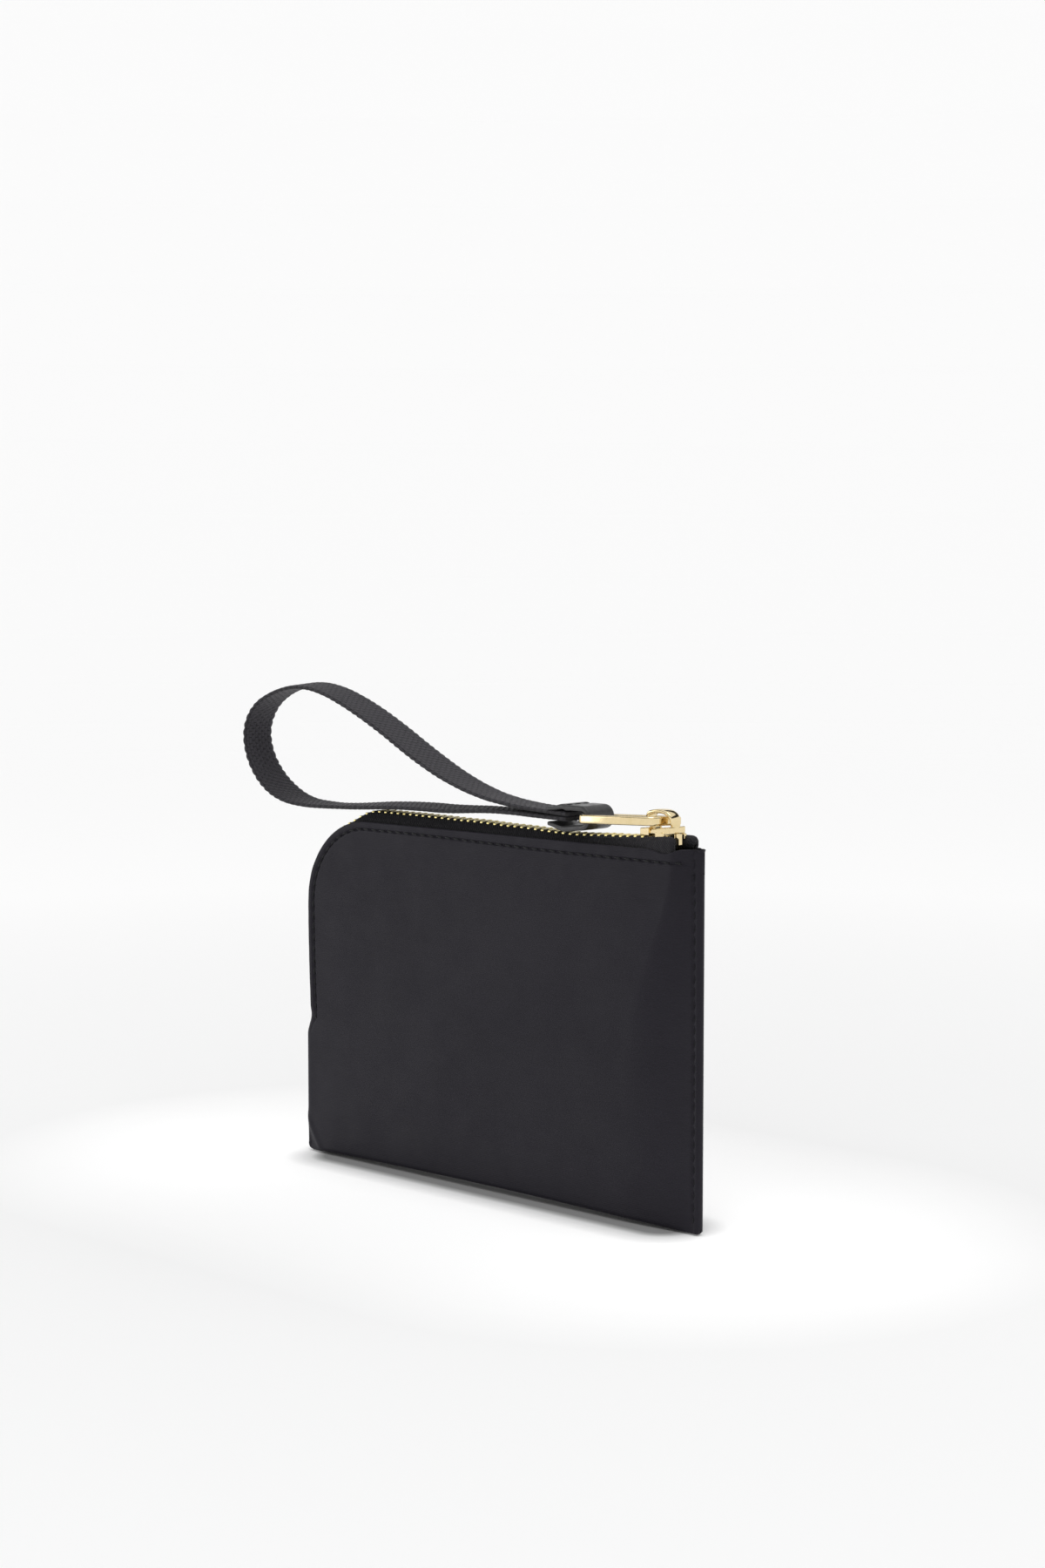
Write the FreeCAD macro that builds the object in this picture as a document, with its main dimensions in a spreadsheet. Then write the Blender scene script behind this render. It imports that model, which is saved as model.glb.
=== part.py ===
import FreeCAD, Part
import math
import os
import Sketcher
from FreeCAD import Placement, Rotation, Vector

# A slim nylon pouch that stands on its bottom fold. A metal zip runs along the top edge,
# round the top left corner and part of the way down the left side. A pull ring, a leather
# tab and a loop of webbing hang on the zip's slider.
# X runs along the pouch, -Y is its front and Z is up. The origin is the middle of the base.

os.makedirs("parts", exist_ok=True)
doc = FreeCAD.newDocument("zippered_pouch")

# ---------------------------------------------------------------- driving dimensions

DIMENSIONS = [
    ("pouch_width", 150, "length of the pouch"),
    ("pouch_height", 100, "height of the nylon panels"),
    ("zip_inset", 3.8, "how far the zipped left edge stands inside the sewn one"),
    ("corner_radius", 24.5, "radius of the top left corner"),
    ("base_depth", 6, "depth of the bottom fold"),
    ("belly_depth", 10.2, "depth over both panels"),
    ("belly_height", 35, "height where the panels become upright"),
    ("wall", 0.6, "thickness of a nylon panel"),
    ("zip_foot", 39, "height of the zip's lower end on the left side"),
    ("seam_width", 2.1, "width of the side seams"),
    ("lining_gap", 0.9, "from a panel's outside to the lining"),
    ("lining_wall", 0.25, "thickness of the lining"),
    ("lining_drop", 5, "from the panel's top edge down to the lining's"),
    ("chain_rise", 1.3, "from the panel's edge to the middle of the zip's teeth"),
    ("tooth_pitch", 2.54, "pitch of a number 5 metal zip"),
    ("tooth_thick", 2.2, "thickness of the row of teeth"),
    ("tooth_long", 1.1, "size of a tooth along the zip"),
    ("tooth_reach", 2.9, "from the zip's middle to a tooth's back"),
    ("tooth_hook", 0.65, "how far a tooth reaches over the zip's middle"),
    ("tape_thick", 0.5, "thickness of the zip tape beside the teeth"),
    ("tape_start", 2.0, "from the zip's middle to the tape's edge"),
    ("tape_out", 4.45, "from the zip's middle to the tape's outside"),
    ("tape_leaf", 0.35, "thickness of the tape where it is sewn in"),
    ("tape_depth", 11, "how far the tape reaches down inside a panel"),
    ("tape_end", 69.4, "X of the tape's right end"),
    ("teeth_start", 61, "X of the first tooth"),
    ("slider_nose", 54.6, "X of the slider's left end"),
    ("slider_tail", 67, "X of the slider's right end"),
    ("slider_half", 3.75, "half of the slider's width"),
    ("slider_gap", 0.4, "play between the slider and the teeth"),
    ("plate_thick", 0.9, "thickness of a slider plate"),
    ("flange_thick", 0.6, "thickness of a slider's side flange"),
    ("neck_start", 62.5, "X of the left end of the slider's neck"),
    ("neck_half", 0.8, "half of the neck's width"),
    ("crown_half", 1.9, "half of the crown's width"),
    ("crown_top", 109.5, "height of the crown"),
    ("crown_bar", 1.1, "thickness of the crown's arch"),
    ("crown_start", 56, "X of the crown's left foot"),
    ("crown_end", 65.4, "X of the crown's right foot"),
    ("pivot_x", 62, "X of the ring's pivot in the crown"),
    ("pivot_z", 106.9, "height of the ring's pivot"),
    ("ring_span", 25.6, "between the axes of the ring's end bars"),
    ("ring_drop", 1, "how much lower the ring's left bar lies than its pivot"),
    ("ring_half", 6.8, "half of the ring's outer width"),
    ("ring_bar", 1.4, "width of the ring's bars"),
    ("ring_tall", 2.4, "height of the ring's bars"),
    ("ring_corner", 2.4, "radius of the ring's corners outside"),
    ("ring_soft", 0.5, "rounding of the ring's edges"),
    ("tab_half", 5.15, "half of the leather tab's width"),
    ("tab_thick", 1.4, "thickness of the leather"),
    ("tab_bend", 1.9, "inner radius of the leather round the ring"),
    ("tab_end", 24.2, "X of the leather tab's left end"),
    ("strap_half", 5.15, "half of the webbing's width"),
    ("strap_thick", 1.2, "thickness of the webbing"),
    ("stitch_inset", 2, "from a panel's edge to its stitches"),
    ("stitch_pitch", 3.3, "from one stitch to the next"),
    ("stitch_long", 2.3, "length of a stitch"),
    ("thread", 0.3, "thickness of the thread"),
]

dims = doc.addObject("Spreadsheet::Sheet", "dims")
for row, (alias, number, meaning) in enumerate(DIMENSIONS, start=1):
    dims.set("A%d" % row, alias)
    dims.set("B%d" % row, str(number))
    dims.set("C%d" % row, meaning)
    dims.setAlias("B%d" % row, alias)
doc.recompute()


def value(expression):
    """The number that an expression on the sheet gives."""
    return float(dims.evalExpression(expression))


# ---------------------------------------------------------------- sketches and features

ROOT_POINT = (-1, 1)


def new_body(label):
    body = doc.addObject("PartDesign::Body", label)
    body.Label = label
    body.Placement = Placement()
    return body


def new_sketch(body, name, role, shift="0"):
    """A sketch on one of the body's own planes, moved along the plane's normal by shift."""
    sketch = body.newObject("Sketcher::SketchObject", name)
    plane = [feature for feature in body.Origin.OriginFeatures if feature.Role == role][0]
    sketch.AttachmentSupport = (plane, [""])
    sketch.MapMode = "FlatFace"
    sketch.setExpression("AttachmentOffset.Base.z", shift)
    return sketch


def arc_between(start, finish, radius, left_turn):
    """An arc of this radius; a left turn is counter-clockwise."""
    middle = (start + finish) * 0.5
    chord = finish - start
    rise = math.sqrt(max(radius * radius - chord.Length ** 2 / 4, 0))
    side = Vector(-chord.y, chord.x, 0)
    side.normalize()
    centre = middle + side * (rise if left_turn else -rise)
    first, last = (start, finish) if left_turn else (finish, start)
    first_angle = math.atan2(first.y - centre.y, first.x - centre.x)
    last_angle = math.atan2(last.y - centre.y, last.x - centre.x)
    if last_angle < first_angle:
        last_angle += 2 * math.pi
    circle = Part.Circle(centre, Vector(0, 0, 1), radius)
    return Part.ArcOfCircle(circle, first_angle, last_angle)


def outline(sketch, corners):
    """A closed outline. A corner is (across, up), or (across, up, turn, radius) where an arc
    that turns left or right leads on to the next corner."""
    spots = [Vector(value(corner[0]), value(corner[1]), 0) for corner in corners]
    ends = []
    for index, corner in enumerate(corners):
        start = spots[index]
        finish = spots[(index + 1) % len(spots)]
        if len(corner) == 2:
            number = sketch.addGeometry(Part.LineSegment(start, finish))
            ends.append((number, 1, 2))
        else:
            left_turn = corner[2] == "left"
            arc = arc_between(start, finish, value(corner[3]), left_turn)
            number = sketch.addGeometry(arc)
            ends.append((number, 1, 2) if left_turn else (number, 2, 1))
    for index, corner in enumerate(corners):
        number, start, finish = ends[index]
        following, following_start, _ = ends[(index + 1) % len(ends)]
        sketch.addConstraint(
            Sketcher.Constraint("Coincident", number, finish, following, following_start)
        )
        for kind, expression in (("DistanceX", corner[0]), ("DistanceY", corner[1])):
            constraint = Sketcher.Constraint(kind, *ROOT_POINT, number, start, value(expression))
            bind(sketch, sketch.addConstraint(constraint), expression)
        if len(corner) > 2:
            constraint = Sketcher.Constraint("Radius", number, value(corner[3]))
            bind(sketch, sketch.addConstraint(constraint), corner[3])


def bind(sketch, constraint, expression):
    sketch.setExpression("Constraints[%d]" % constraint, expression)


def pad(body, name, sketch, length, reverse=False, midplane=False):
    feature = body.newObject("PartDesign::Pad", name)
    feature.Profile = sketch
    feature.setExpression("Length", length)
    feature.Reversed = reverse
    feature.Midplane = midplane
    sketch.Visibility = False
    return feature


def block(body, name, corners, low, high, role="XY_Plane"):
    """Pads an outline from low to high along the normal of its plane."""
    sketch = new_sketch(body, name + "_outline", role, low)
    outline(sketch, corners)
    return pad(body, name, sketch, "(%s) - (%s)" % (high, low))


def slab(body, name, corners, front, back):
    """Pads an outline drawn in X and Z from Y front to Y back."""
    sketch = new_sketch(body, name + "_outline", "XZ_Plane", "-(%s)" % front)
    outline(sketch, corners)
    return pad(body, name, sketch, "(%s) - (%s)" % (back, front), reverse=True)


def box_corners(left, right, low, high):
    return [(left, low), (right, low), (right, high), (left, high)]


def rounded(body, name, base, edge_names, radius):
    fillet = body.newObject("PartDesign::Fillet", name)
    fillet.Base = (base, edge_names)
    fillet.setExpression("Radius", radius)
    return fillet


def cut(body, name, corners, front, back):
    """A pocket through the body, drawn in X and Z, from Y front to Y back."""
    before = body.Tip.Shape.Volume
    sketch = new_sketch(body, name + "_outline", "XZ_Plane", "-(%s)" % back)
    outline(sketch, corners)
    pocket = body.newObject("PartDesign::Pocket", name)
    pocket.Profile = sketch
    pocket.setExpression("Length", "(%s) - (%s)" % (back, front))
    pocket.Reversed = True
    sketch.Visibility = False
    doc.recompute()
    assert pocket.Shape.Volume < before - 1, name + " cuts nothing"
    return pocket


# ---------------------------------------------------------------- shared expressions

HALF = "dims.pouch_width / 2"
TOP = "dims.pouch_height"
ZIP_LEFT = "-dims.pouch_width / 2 + dims.zip_inset"
CORNER_X = "-dims.pouch_width / 2 + dims.zip_inset + dims.corner_radius"
CORNER_Z = "dims.pouch_height - dims.corner_radius"
SHELL_OUT = "dims.belly_depth / 2"
SHELL_IN = "dims.belly_depth / 2 - dims.wall"
CHAIN_Z = "dims.pouch_height + dims.chain_rise"
TEETH_LOW = "dims.pouch_height + dims.chain_rise - dims.tooth_thick / 2"
TEETH_HIGH = "dims.pouch_height + dims.chain_rise + dims.tooth_thick / 2"


def band_corners(outside, inside, right_end, foot):
    """A band along the zip's path, between two distances outside the panel's edge."""
    outer_z = "%s + (%s)" % (TOP, outside)
    outer_x = "%s - (%s)" % (ZIP_LEFT, outside)
    inner_z = "%s + (%s)" % (TOP, inside)
    inner_x = "%s - (%s)" % (ZIP_LEFT, inside)
    outer_radius = "dims.corner_radius + (%s)" % outside
    inner_radius = "dims.corner_radius + (%s)" % inside
    return [
        (right_end, outer_z),
        (CORNER_X, outer_z, "left", outer_radius),
        (outer_x, CORNER_Z),
        (outer_x, foot),
        (inner_x, foot),
        (inner_x, CORNER_Z, "right", inner_radius),
        (CORNER_X, inner_z),
        (right_end, inner_z),
    ]


def places_along_edge(outside, start_x, foot, pitch, first):
    """Placements every pitch along the zip's path at this distance outside the panel's edge.
    In each, local X runs along the edge and local Z points away from the pouch."""
    radius = value("dims.corner_radius") + outside
    corner_x = value(CORNER_X)
    corner_z = value(CORNER_Z)
    straight = start_x - corner_x
    bend = radius * math.pi / 2
    drop = corner_z - foot
    places = []
    travelled = first
    while travelled <= straight + bend + drop:
        if travelled < straight:
            angle = 0.0
            spot = Vector(start_x - travelled, 0, corner_z + radius)
        elif travelled < straight + bend:
            angle = (travelled - straight) / radius
            away = Vector(-math.sin(angle), 0, math.cos(angle))
            spot = Vector(corner_x, 0, corner_z) + away * radius
        else:
            angle = math.pi / 2
            spot = Vector(corner_x - radius, 0, corner_z - (travelled - straight - bend))
        turn = Rotation(Vector(0, 1, 0), -math.degrees(angle))
        places.append(Placement(spot, turn))
        travelled += pitch
    return places


def new_feature(label, shape):
    feature = doc.addObject("Part::Feature", label)
    feature.Label = label
    feature.Shape = shape
    feature.Placement = Placement()
    return feature


# ---------------------------------------------------------------- the nylon pouch

def u_profile(half_base, half_belly, foot, belly, top, thick):
    """A folded panel seen along X: outside down, round the base and up, then inside."""
    return [
        ("-(%s)" % half_belly, top),
        ("-(%s)" % half_belly, belly),
        ("-(%s)" % half_base, foot),
        (half_base, foot),
        (half_belly, belly),
        (half_belly, top),
        ("%s - %s" % (half_belly, thick), top),
        ("%s - %s" % (half_belly, thick), belly),
        ("%s - %s" % (half_base, thick), "%s + %s" % (foot, thick)),
        ("-(%s - %s)" % (half_base, thick), "%s + %s" % (foot, thick)),
        ("-(%s - %s)" % (half_belly, thick), belly),
        ("-(%s - %s)" % (half_belly, thick), top),
    ]


def corner_cut(edge):
    """The waste outside the zipped left edge and round corner, for an edge this far inside."""
    radius = "dims.corner_radius - (%s)" % edge
    left = "%s + (%s)" % (ZIP_LEFT, edge)
    return [
        (CORNER_X, "%s - (%s)" % (TOP, edge), "left", radius),
        (left, CORNER_Z),
        (left, "dims.zip_foot"),
        ("-%s - 1" % HALF, "dims.zip_foot"),
        ("-%s - 1" % HALF, "%s + 1" % TOP),
        (CORNER_X, "%s + 1" % TOP),
    ]


def make_outer_shell():
    body = new_body("outer_shell")
    sketch = new_sketch(body, "shell_profile", "YZ_Plane")
    thick = "dims.wall"
    outline(sketch, u_profile("dims.base_depth / 2", SHELL_OUT, "0", "dims.belly_height", TOP, thick))
    pad(body, "shell_pad", sketch, "dims.pouch_width", midplane=True)
    doc.recompute()
    cut(body, "shell_corner", corner_cut("0"), "-%s - 1" % SHELL_OUT, "%s + 1" % SHELL_OUT)


def make_lining():
    body = new_body("lining")
    sketch = new_sketch(body, "lining_profile", "YZ_Plane")
    half_base = "dims.base_depth / 2 - dims.lining_gap"
    half_belly = "dims.belly_depth / 2 - dims.lining_gap - dims.tape_leaf"
    top = "%s - dims.lining_drop" % TOP
    outline(sketch, u_profile(half_base, half_belly, "dims.lining_gap", "dims.belly_height", top,
                              "dims.lining_wall"))
    pad(body, "lining_pad", sketch, "dims.pouch_width - 2 * dims.seam_width - 0.4", midplane=True)
    doc.recompute()
    cut(body, "lining_corner", corner_cut("dims.lining_drop"), "-%s" % SHELL_OUT, SHELL_OUT)


def make_side_seam(label, left, right, top):
    """The turned edges that close the pouch's side, between the two panels."""
    body = new_body(label)
    sketch = new_sketch(body, label + "_profile", "YZ_Plane", left)
    base = "dims.base_depth / 2 - dims.wall"
    corners = [
        ("-(%s)" % base, "dims.wall"),
        (base, "dims.wall"),
        (SHELL_IN, "dims.belly_height"),
        (SHELL_IN, top),
        ("-(%s)" % SHELL_IN, top),
        ("-(%s)" % SHELL_IN, "dims.belly_height"),
    ]
    outline(sketch, corners)
    pad(body, label + "_pad", sketch, "(%s) - (%s)" % (right, left))


# ---------------------------------------------------------------- the zip

def make_tape(label, side):
    """One half of the zip tape: a ledge beside the teeth and a leaf sewn inside the panel."""
    body = new_body(label)
    ledge_low = "dims.chain_rise - dims.tape_thick / 2"
    ledge_high = "dims.chain_rise + dims.tape_thick / 2"
    leaf_start = "dims.tape_out - dims.tape_leaf"
    ledge = band_corners(ledge_high, ledge_low, "dims.tape_end", "dims.zip_foot")
    leaf = band_corners(ledge_high, "-dims.tape_depth", "dims.tape_end", "dims.zip_foot")
    if side < 0:
        slab(body, label + "_ledge", ledge, "-dims.tape_out", "-dims.tape_start")
        slab(body, label + "_leaf", leaf, "-dims.tape_out", "-(%s)" % leaf_start)
    else:
        slab(body, label + "_ledge", ledge, "dims.tape_start", "dims.tape_out")
        slab(body, label + "_leaf", leaf, leaf_start, "dims.tape_out")


def make_teeth(label, side, first):
    """A row of teeth, each crimped on the tape's edge and hooked over the zip's middle."""
    half = value("dims.tooth_long / 2")
    reach = value("dims.tooth_reach")
    hook = value("dims.tooth_hook")
    thick = value("dims.tooth_thick")
    plan = [
        (-half, -reach),
        (half, -reach),
        (half, -hook / 2),
        (half * 0.75, hook),
        (-half * 0.75, hook),
        (-half, -hook / 2),
    ]
    points = [Vector(x, -side * y, -thick / 2) for x, y in plan]
    face = Part.Face(Part.makePolygon(points + points[:1]))
    tooth = face.extrude(Vector(0, 0, thick))
    places = places_along_edge(
        value("dims.chain_rise"),
        value("dims.teeth_start"),
        value("dims.zip_foot + 4"),
        value("dims.tooth_pitch"),
        first,
    )
    new_feature(label, Part.makeCompound([tooth.transformed(place.Matrix) for place in places]))


def make_bottom_stop():
    """A staple that holds both halves of the zip at its lower end."""
    body = new_body("bottom_stop")
    left = "%s - dims.chain_rise - dims.tooth_thick / 2" % ZIP_LEFT
    right = "%s - dims.chain_rise + dims.tooth_thick / 2" % ZIP_LEFT
    corners = box_corners(left, right, "dims.zip_foot + 0.8", "dims.zip_foot + 3.2")
    slab(body, "staple", corners, "-dims.tape_start - 0.8", "dims.tape_start + 0.8")
    doc.recompute()
    edges = ["Edge%d" % (number + 1) for number in range(len(body.Tip.Shape.Edges))]
    rounded(body, "staple_round", body.Tip, edges, "0.4")


def make_top_stop(label, side):
    """A small clamp on the tape's edge that stops the slider at the right end."""
    body = new_body(label)
    corners = box_corners("dims.slider_tail + 0.5", "dims.slider_tail + 2.1", TEETH_LOW, TEETH_HIGH)
    inner = "dims.tape_start - 0.5"
    outer = "dims.tape_start + 1"
    if side < 0:
        slab(body, label + "_clamp", corners, "-(%s)" % outer, "-(%s)" % inner)
    else:
        slab(body, label + "_clamp", corners, inner, outer)
    doc.recompute()
    edges = ["Edge%d" % (number + 1) for number in range(len(body.Tip.Shape.Edges))]
    rounded(body, label + "_round", body.Tip, edges, "0.35")


# ---------------------------------------------------------------- the slider

PLATE_UNDER = "%s - dims.slider_gap" % TEETH_LOW
PLATE_OVER = "%s + dims.slider_gap" % TEETH_HIGH
SLIDER_TOP = "%s + dims.plate_thick" % PLATE_OVER


def slider_plan():
    """A slider plate seen from above: a narrow nose at the left and two round shoulders."""
    half = "dims.slider_half"
    nose_half = "dims.slider_half - 0.5"
    nose = "dims.slider_nose"
    tail = "dims.slider_tail"
    waist = "dims.slider_nose + 4.5"
    return [
        (nose, "-(%s) + 1" % nose_half, "left", "1"),
        ("%s + 1" % nose, "-(%s)" % nose_half),
        (waist, "-(%s)" % nose_half),
        ("%s + 2" % waist, "-%s" % half),
        ("%s - 2" % tail, "-%s" % half, "left", "2"),
        (tail, "-%s + 2" % half),
        (tail, "%s - 2" % half, "left", "2"),
        ("%s - 2" % tail, half),
        ("%s + 2" % waist, half),
        (waist, nose_half),
        ("%s + 1" % nose, nose_half, "left", "1"),
        (nose, "(%s) - 1" % nose_half),
    ]


def flange_plan(side):
    """A strip along one edge of the slider, wider apart over its right half."""
    outer = "dims.slider_half"
    inner = "(dims.slider_half - dims.flange_thick)"
    across = [
        ("dims.slider_nose + 6.5", "%s" % inner),
        ("dims.slider_tail - 1.8", "%s" % inner),
        ("dims.slider_tail - 1.8", "%s" % outer),
        ("dims.slider_nose + 6.5", "%s" % outer),
    ]
    if side < 0:
        return [(x, "-%s" % y) for x, y in across]
    return across


def make_slider_body():
    body = new_body("slider_body")
    block(body, "lower_plate", slider_plan(), "%s - dims.plate_thick" % PLATE_UNDER, PLATE_UNDER)
    block(body, "upper_plate", slider_plan(), PLATE_OVER, SLIDER_TOP)
    neck_middle = "(dims.neck_start + dims.slider_tail) / 2"
    neck = [
        ("dims.neck_start", "0"),
        (neck_middle, "-dims.neck_half"),
        ("dims.slider_tail - 0.3", "-dims.neck_half"),
        ("dims.slider_tail - 0.3", "dims.neck_half"),
        (neck_middle, "dims.neck_half"),
    ]
    block(body, "neck", neck, "%s - dims.plate_thick / 2" % PLATE_UNDER, "%s + 0.4" % PLATE_OVER)
    tape_low = "%s - dims.tape_thick / 2 - dims.slider_gap" % CHAIN_Z
    tape_high = "%s + dims.tape_thick / 2 + dims.slider_gap" % CHAIN_Z
    for side, word in ((-1, "front"), (1, "back")):
        block(body, word + "_upper_flange", flange_plan(side), tape_high, "%s + 0.4" % PLATE_OVER)
        block(body, word + "_lower_flange", flange_plan(side), "%s - 0.4" % PLATE_UNDER, tape_low)


def make_slider_crown():
    """The arch on the slider that the pull ring hangs in."""
    body = new_body("slider_crown")
    left = "dims.crown_start"
    right = "dims.crown_end"
    top = "dims.crown_top"
    bar = "dims.crown_bar"
    bend = "3"
    inner_bend = "(3 - dims.crown_bar)"
    corners = [
        (left, SLIDER_TOP),
        ("%s + %s" % (left, bar), SLIDER_TOP),
        ("%s + %s" % (left, bar), "%s - %s" % (top, bend), "right", inner_bend),
        ("%s + %s" % (left, bend), "%s - %s" % (top, bar)),
        ("%s - %s" % (right, bend), "%s - %s" % (top, bar), "right", inner_bend),
        ("%s - %s" % (right, bar), "%s - %s" % (top, bend)),
        ("%s - %s" % (right, bar), SLIDER_TOP),
        (right, SLIDER_TOP),
        (right, "%s - %s" % (top, bend), "left", bend),
        ("%s - %s" % (right, bend), top),
        ("%s + %s" % (left, bend), top, "left", bend),
        (left, "%s - %s" % (top, bend)),
    ]
    slab(body, "arch", corners, "-dims.crown_half", "dims.crown_half")


# ---------------------------------------------------------------- ring, tab and strap

def ring_loop(inset, radius):
    """The ring's outline from above, this far inside its outer edge."""
    left = "dims.pivot_x - dims.ring_span - dims.ring_bar / 2 + (%s)" % inset
    right = "dims.pivot_x + dims.ring_bar / 2 - (%s)" % inset
    half = "dims.ring_half - (%s)" % inset
    return [
        ("%s + %s" % (left, radius), "-(%s)" % half),
        ("%s - %s" % (right, radius), "-(%s)" % half, "left", radius),
        (right, "-(%s) + %s" % (half, radius)),
        (right, "(%s) - %s" % (half, radius), "left", radius),
        ("%s - %s" % (right, radius), half),
        ("%s + %s" % (left, radius), half, "left", radius),
        (left, "(%s) - %s" % (half, radius)),
        (left, "-(%s) + %s" % (half, radius), "left", radius),
    ]


def make_pull_ring():
    body = new_body("pull_ring")
    sketch = new_sketch(body, "ring_outline", "XY_Plane", "dims.pivot_z")
    outline(sketch, ring_loop("0", "dims.ring_corner"))
    outline(sketch, ring_loop("dims.ring_bar", "(dims.ring_corner - dims.ring_bar)"))
    ring = pad(body, "ring_pad", sketch, "dims.ring_tall", midplane=True)
    doc.recompute()
    flat_edges = []
    for number, edge in enumerate(ring.Shape.Edges, start=1):
        if edge.BoundBox.ZLength < 0.01:
            flat_edges.append("Edge%d" % number)
    rounded(body, "ring_round", ring, flat_edges, "dims.ring_soft")
    pivot = Vector(value("dims.pivot_x"), 0, value("dims.pivot_z"))
    tilt = -math.degrees(math.asin(value("dims.ring_drop / dims.ring_span")))
    turn = Rotation(Vector(0, 1, 0), tilt)
    body.Placement = Placement(pivot - turn.multVec(pivot), turn)


def make_leather_tab():
    """Leather folded round the ring's left bar, with its two layers side by side."""
    body = new_body("leather_tab")
    bar_x = "(dims.pivot_x - sqrt(dims.ring_span ^ 2 - dims.ring_drop ^ 2))"
    middle = "(dims.pivot_z - dims.ring_drop)"
    inner = "dims.tab_bend"
    outer = "(dims.tab_bend + dims.tab_thick)"
    low = middle + " - %s"
    high = middle + " + %s"
    corners = [
        ("dims.tab_end", low % outer),
        (bar_x, low % outer, "left", outer),
        ("%s + %s" % (bar_x, outer), middle, "left", outer),
        (bar_x, high % outer),
        ("dims.tab_end", high % outer),
        ("dims.tab_end", high % inner),
        (bar_x, high % inner, "right", inner),
        ("%s + %s" % (bar_x, inner), middle, "right", inner),
        (bar_x, low % inner),
        ("dims.tab_end", low % inner),
    ]
    slab(body, "fold", corners, "-dims.tab_half", "dims.tab_half")


# The middle of the webbing in X and Z: out of the tab, along the top of the zip, round in
# the air past the left end and back down to the tab.
STRAP_ROUTE = [
    (31, 105.25), (20.5, 105.4), (9.5, 105.75), (-2.5, 105.5),
    (-15.4, 104.7), (-28.5, 104.8), (-42, 104.2), (-55.5, 103.1),
    (-69, 102.5), (-81.5, 103.3), (-91.3, 107.9), (-97.8, 115.4),
    (-99.5, 123.8), (-95, 131.2), (-86.4, 135.5), (-76.9, 137.6),
    (-66.5, 136.7), (-54.1, 132.5), (-41, 126.5), (-28, 119.5),
    (-14.9, 113.5), (-2.1, 109.5), (9, 107.8), (20, 107),
    (31, 106.55),
]
ARC_SHARE = 0.45


def strap_side(points, shift):
    """Straight runs joined by tangent arcs, this far to the left of the route."""
    edges = []
    radii = []
    length = 0
    leave = points[0]
    for before, corner, after in zip(points, points[1:], points[2:]):
        arriving = (corner - before).normalize()
        leaving = (after - corner).normalize()
        turn = arriving.getAngle(leaving)
        shorter = min((corner - before).Length, (after - corner).Length)
        radius = ARC_SHARE * shorter / math.tan(turn / 2)
        left_turn = arriving.x * leaving.z - arriving.z * leaving.x > 0
        begin = corner - arriving * (ARC_SHARE * shorter)
        finish = corner + leaving * (ARC_SHARE * shorter)
        bisector = (leaving - arriving).normalize()
        centre = corner + bisector * (radius / math.cos(turn / 2))
        radii.append(radius)
        length += (begin - leave).Length + radius * turn
        grown = radius - shift if left_turn else radius + shift
        arc_points = [centre + (spot - centre).normalize() * grown
                      for spot in (begin, corner, finish)]
        beside = Vector(-arriving.z, 0, arriving.x) * shift
        edges.append(Part.LineSegment(leave + beside, begin + beside).toShape())
        edges.append(Part.Arc(*arc_points).toShape())
        leave = finish
    arriving = (points[-1] - leave).normalize()
    beside = Vector(-arriving.z, 0, arriving.x) * shift
    edges.append(Part.LineSegment(leave + beside, points[-1] + beside).toShape())
    length += (points[-1] - leave).Length
    return edges, radii, length


def make_wrist_strap():
    points = [Vector(x, 0, z) for x, z in STRAP_ROUTE]
    half_thick = value("dims.strap_thick / 2")
    upper, radii, length = strap_side(points, half_thick)
    lower, _, _ = strap_side(points, -half_thick)
    first_cap = Part.LineSegment(lower[0].Vertexes[0].Point, upper[0].Vertexes[0].Point).toShape()
    last_cap = Part.LineSegment(upper[-1].Vertexes[-1].Point, lower[-1].Vertexes[-1].Point).toShape()
    wire = Part.Wire(Part.__sortEdges__(upper + [last_cap] + lower + [first_cap]))
    half = value("dims.strap_half")
    face = Part.Face(wire)
    face.translate(Vector(0, -half, 0))
    strap = face.extrude(Vector(0, 2 * half, 0))
    new_feature("wrist_strap", strap)
    expected = length * 4 * half_thick * half
    print("strap length %.1f mm" % length)
    print("strap radii", ", ".join("%.0f" % radius for radius in radii))
    print("strap volume %.1f, section times length %.1f" % (strap.Volume, expected))
    assert abs(strap.Volume - expected) < 0.01 * expected


# ---------------------------------------------------------------- stitching

def stitch(along, up):
    """One stitch lying on a panel: along the seam by its length, proud by the thread."""
    thread = value("dims.thread")
    return Part.makeBox(along, thread, up, Vector(-along / 2, 0, -up / 2))


def make_edge_stitches(label, side):
    """The row of stitches beside the zip on one panel."""
    inset = value("dims.stitch_inset")
    one = stitch(value("dims.stitch_long"), value("dims.thread"))
    outside = value(SHELL_OUT) if side > 0 else -value(SHELL_OUT) - value("dims.thread")
    one.translate(Vector(0, outside, 0))
    pitch = value("dims.stitch_pitch")
    start = value(HALF) - inset - pitch
    foot = value("dims.zip_foot + 2")
    places = places_along_edge(-inset, start, foot, pitch, 0)
    new_feature(label, Part.makeCompound([one.transformed(place.Matrix) for place in places]))


def make_side_stitches():
    """The row of stitches down the right side, on both panels."""
    inset = value("dims.stitch_inset")
    pitch = value("dims.stitch_pitch")
    thread = value("dims.thread")
    outside = value(SHELL_OUT)
    count = int(value("(dims.pouch_height - dims.belly_height - 2) / dims.stitch_pitch"))
    stitches = []
    for number in range(count):
        height = value(TOP) - inset - pitch / 2 - number * pitch
        for front in (-outside - thread, outside):
            one = stitch(thread, value("dims.stitch_long"))
            one.translate(Vector(value(HALF) - inset, front, height))
            stitches.append(one)
    new_feature("side_stitching", Part.makeCompound(stitches))


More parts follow.
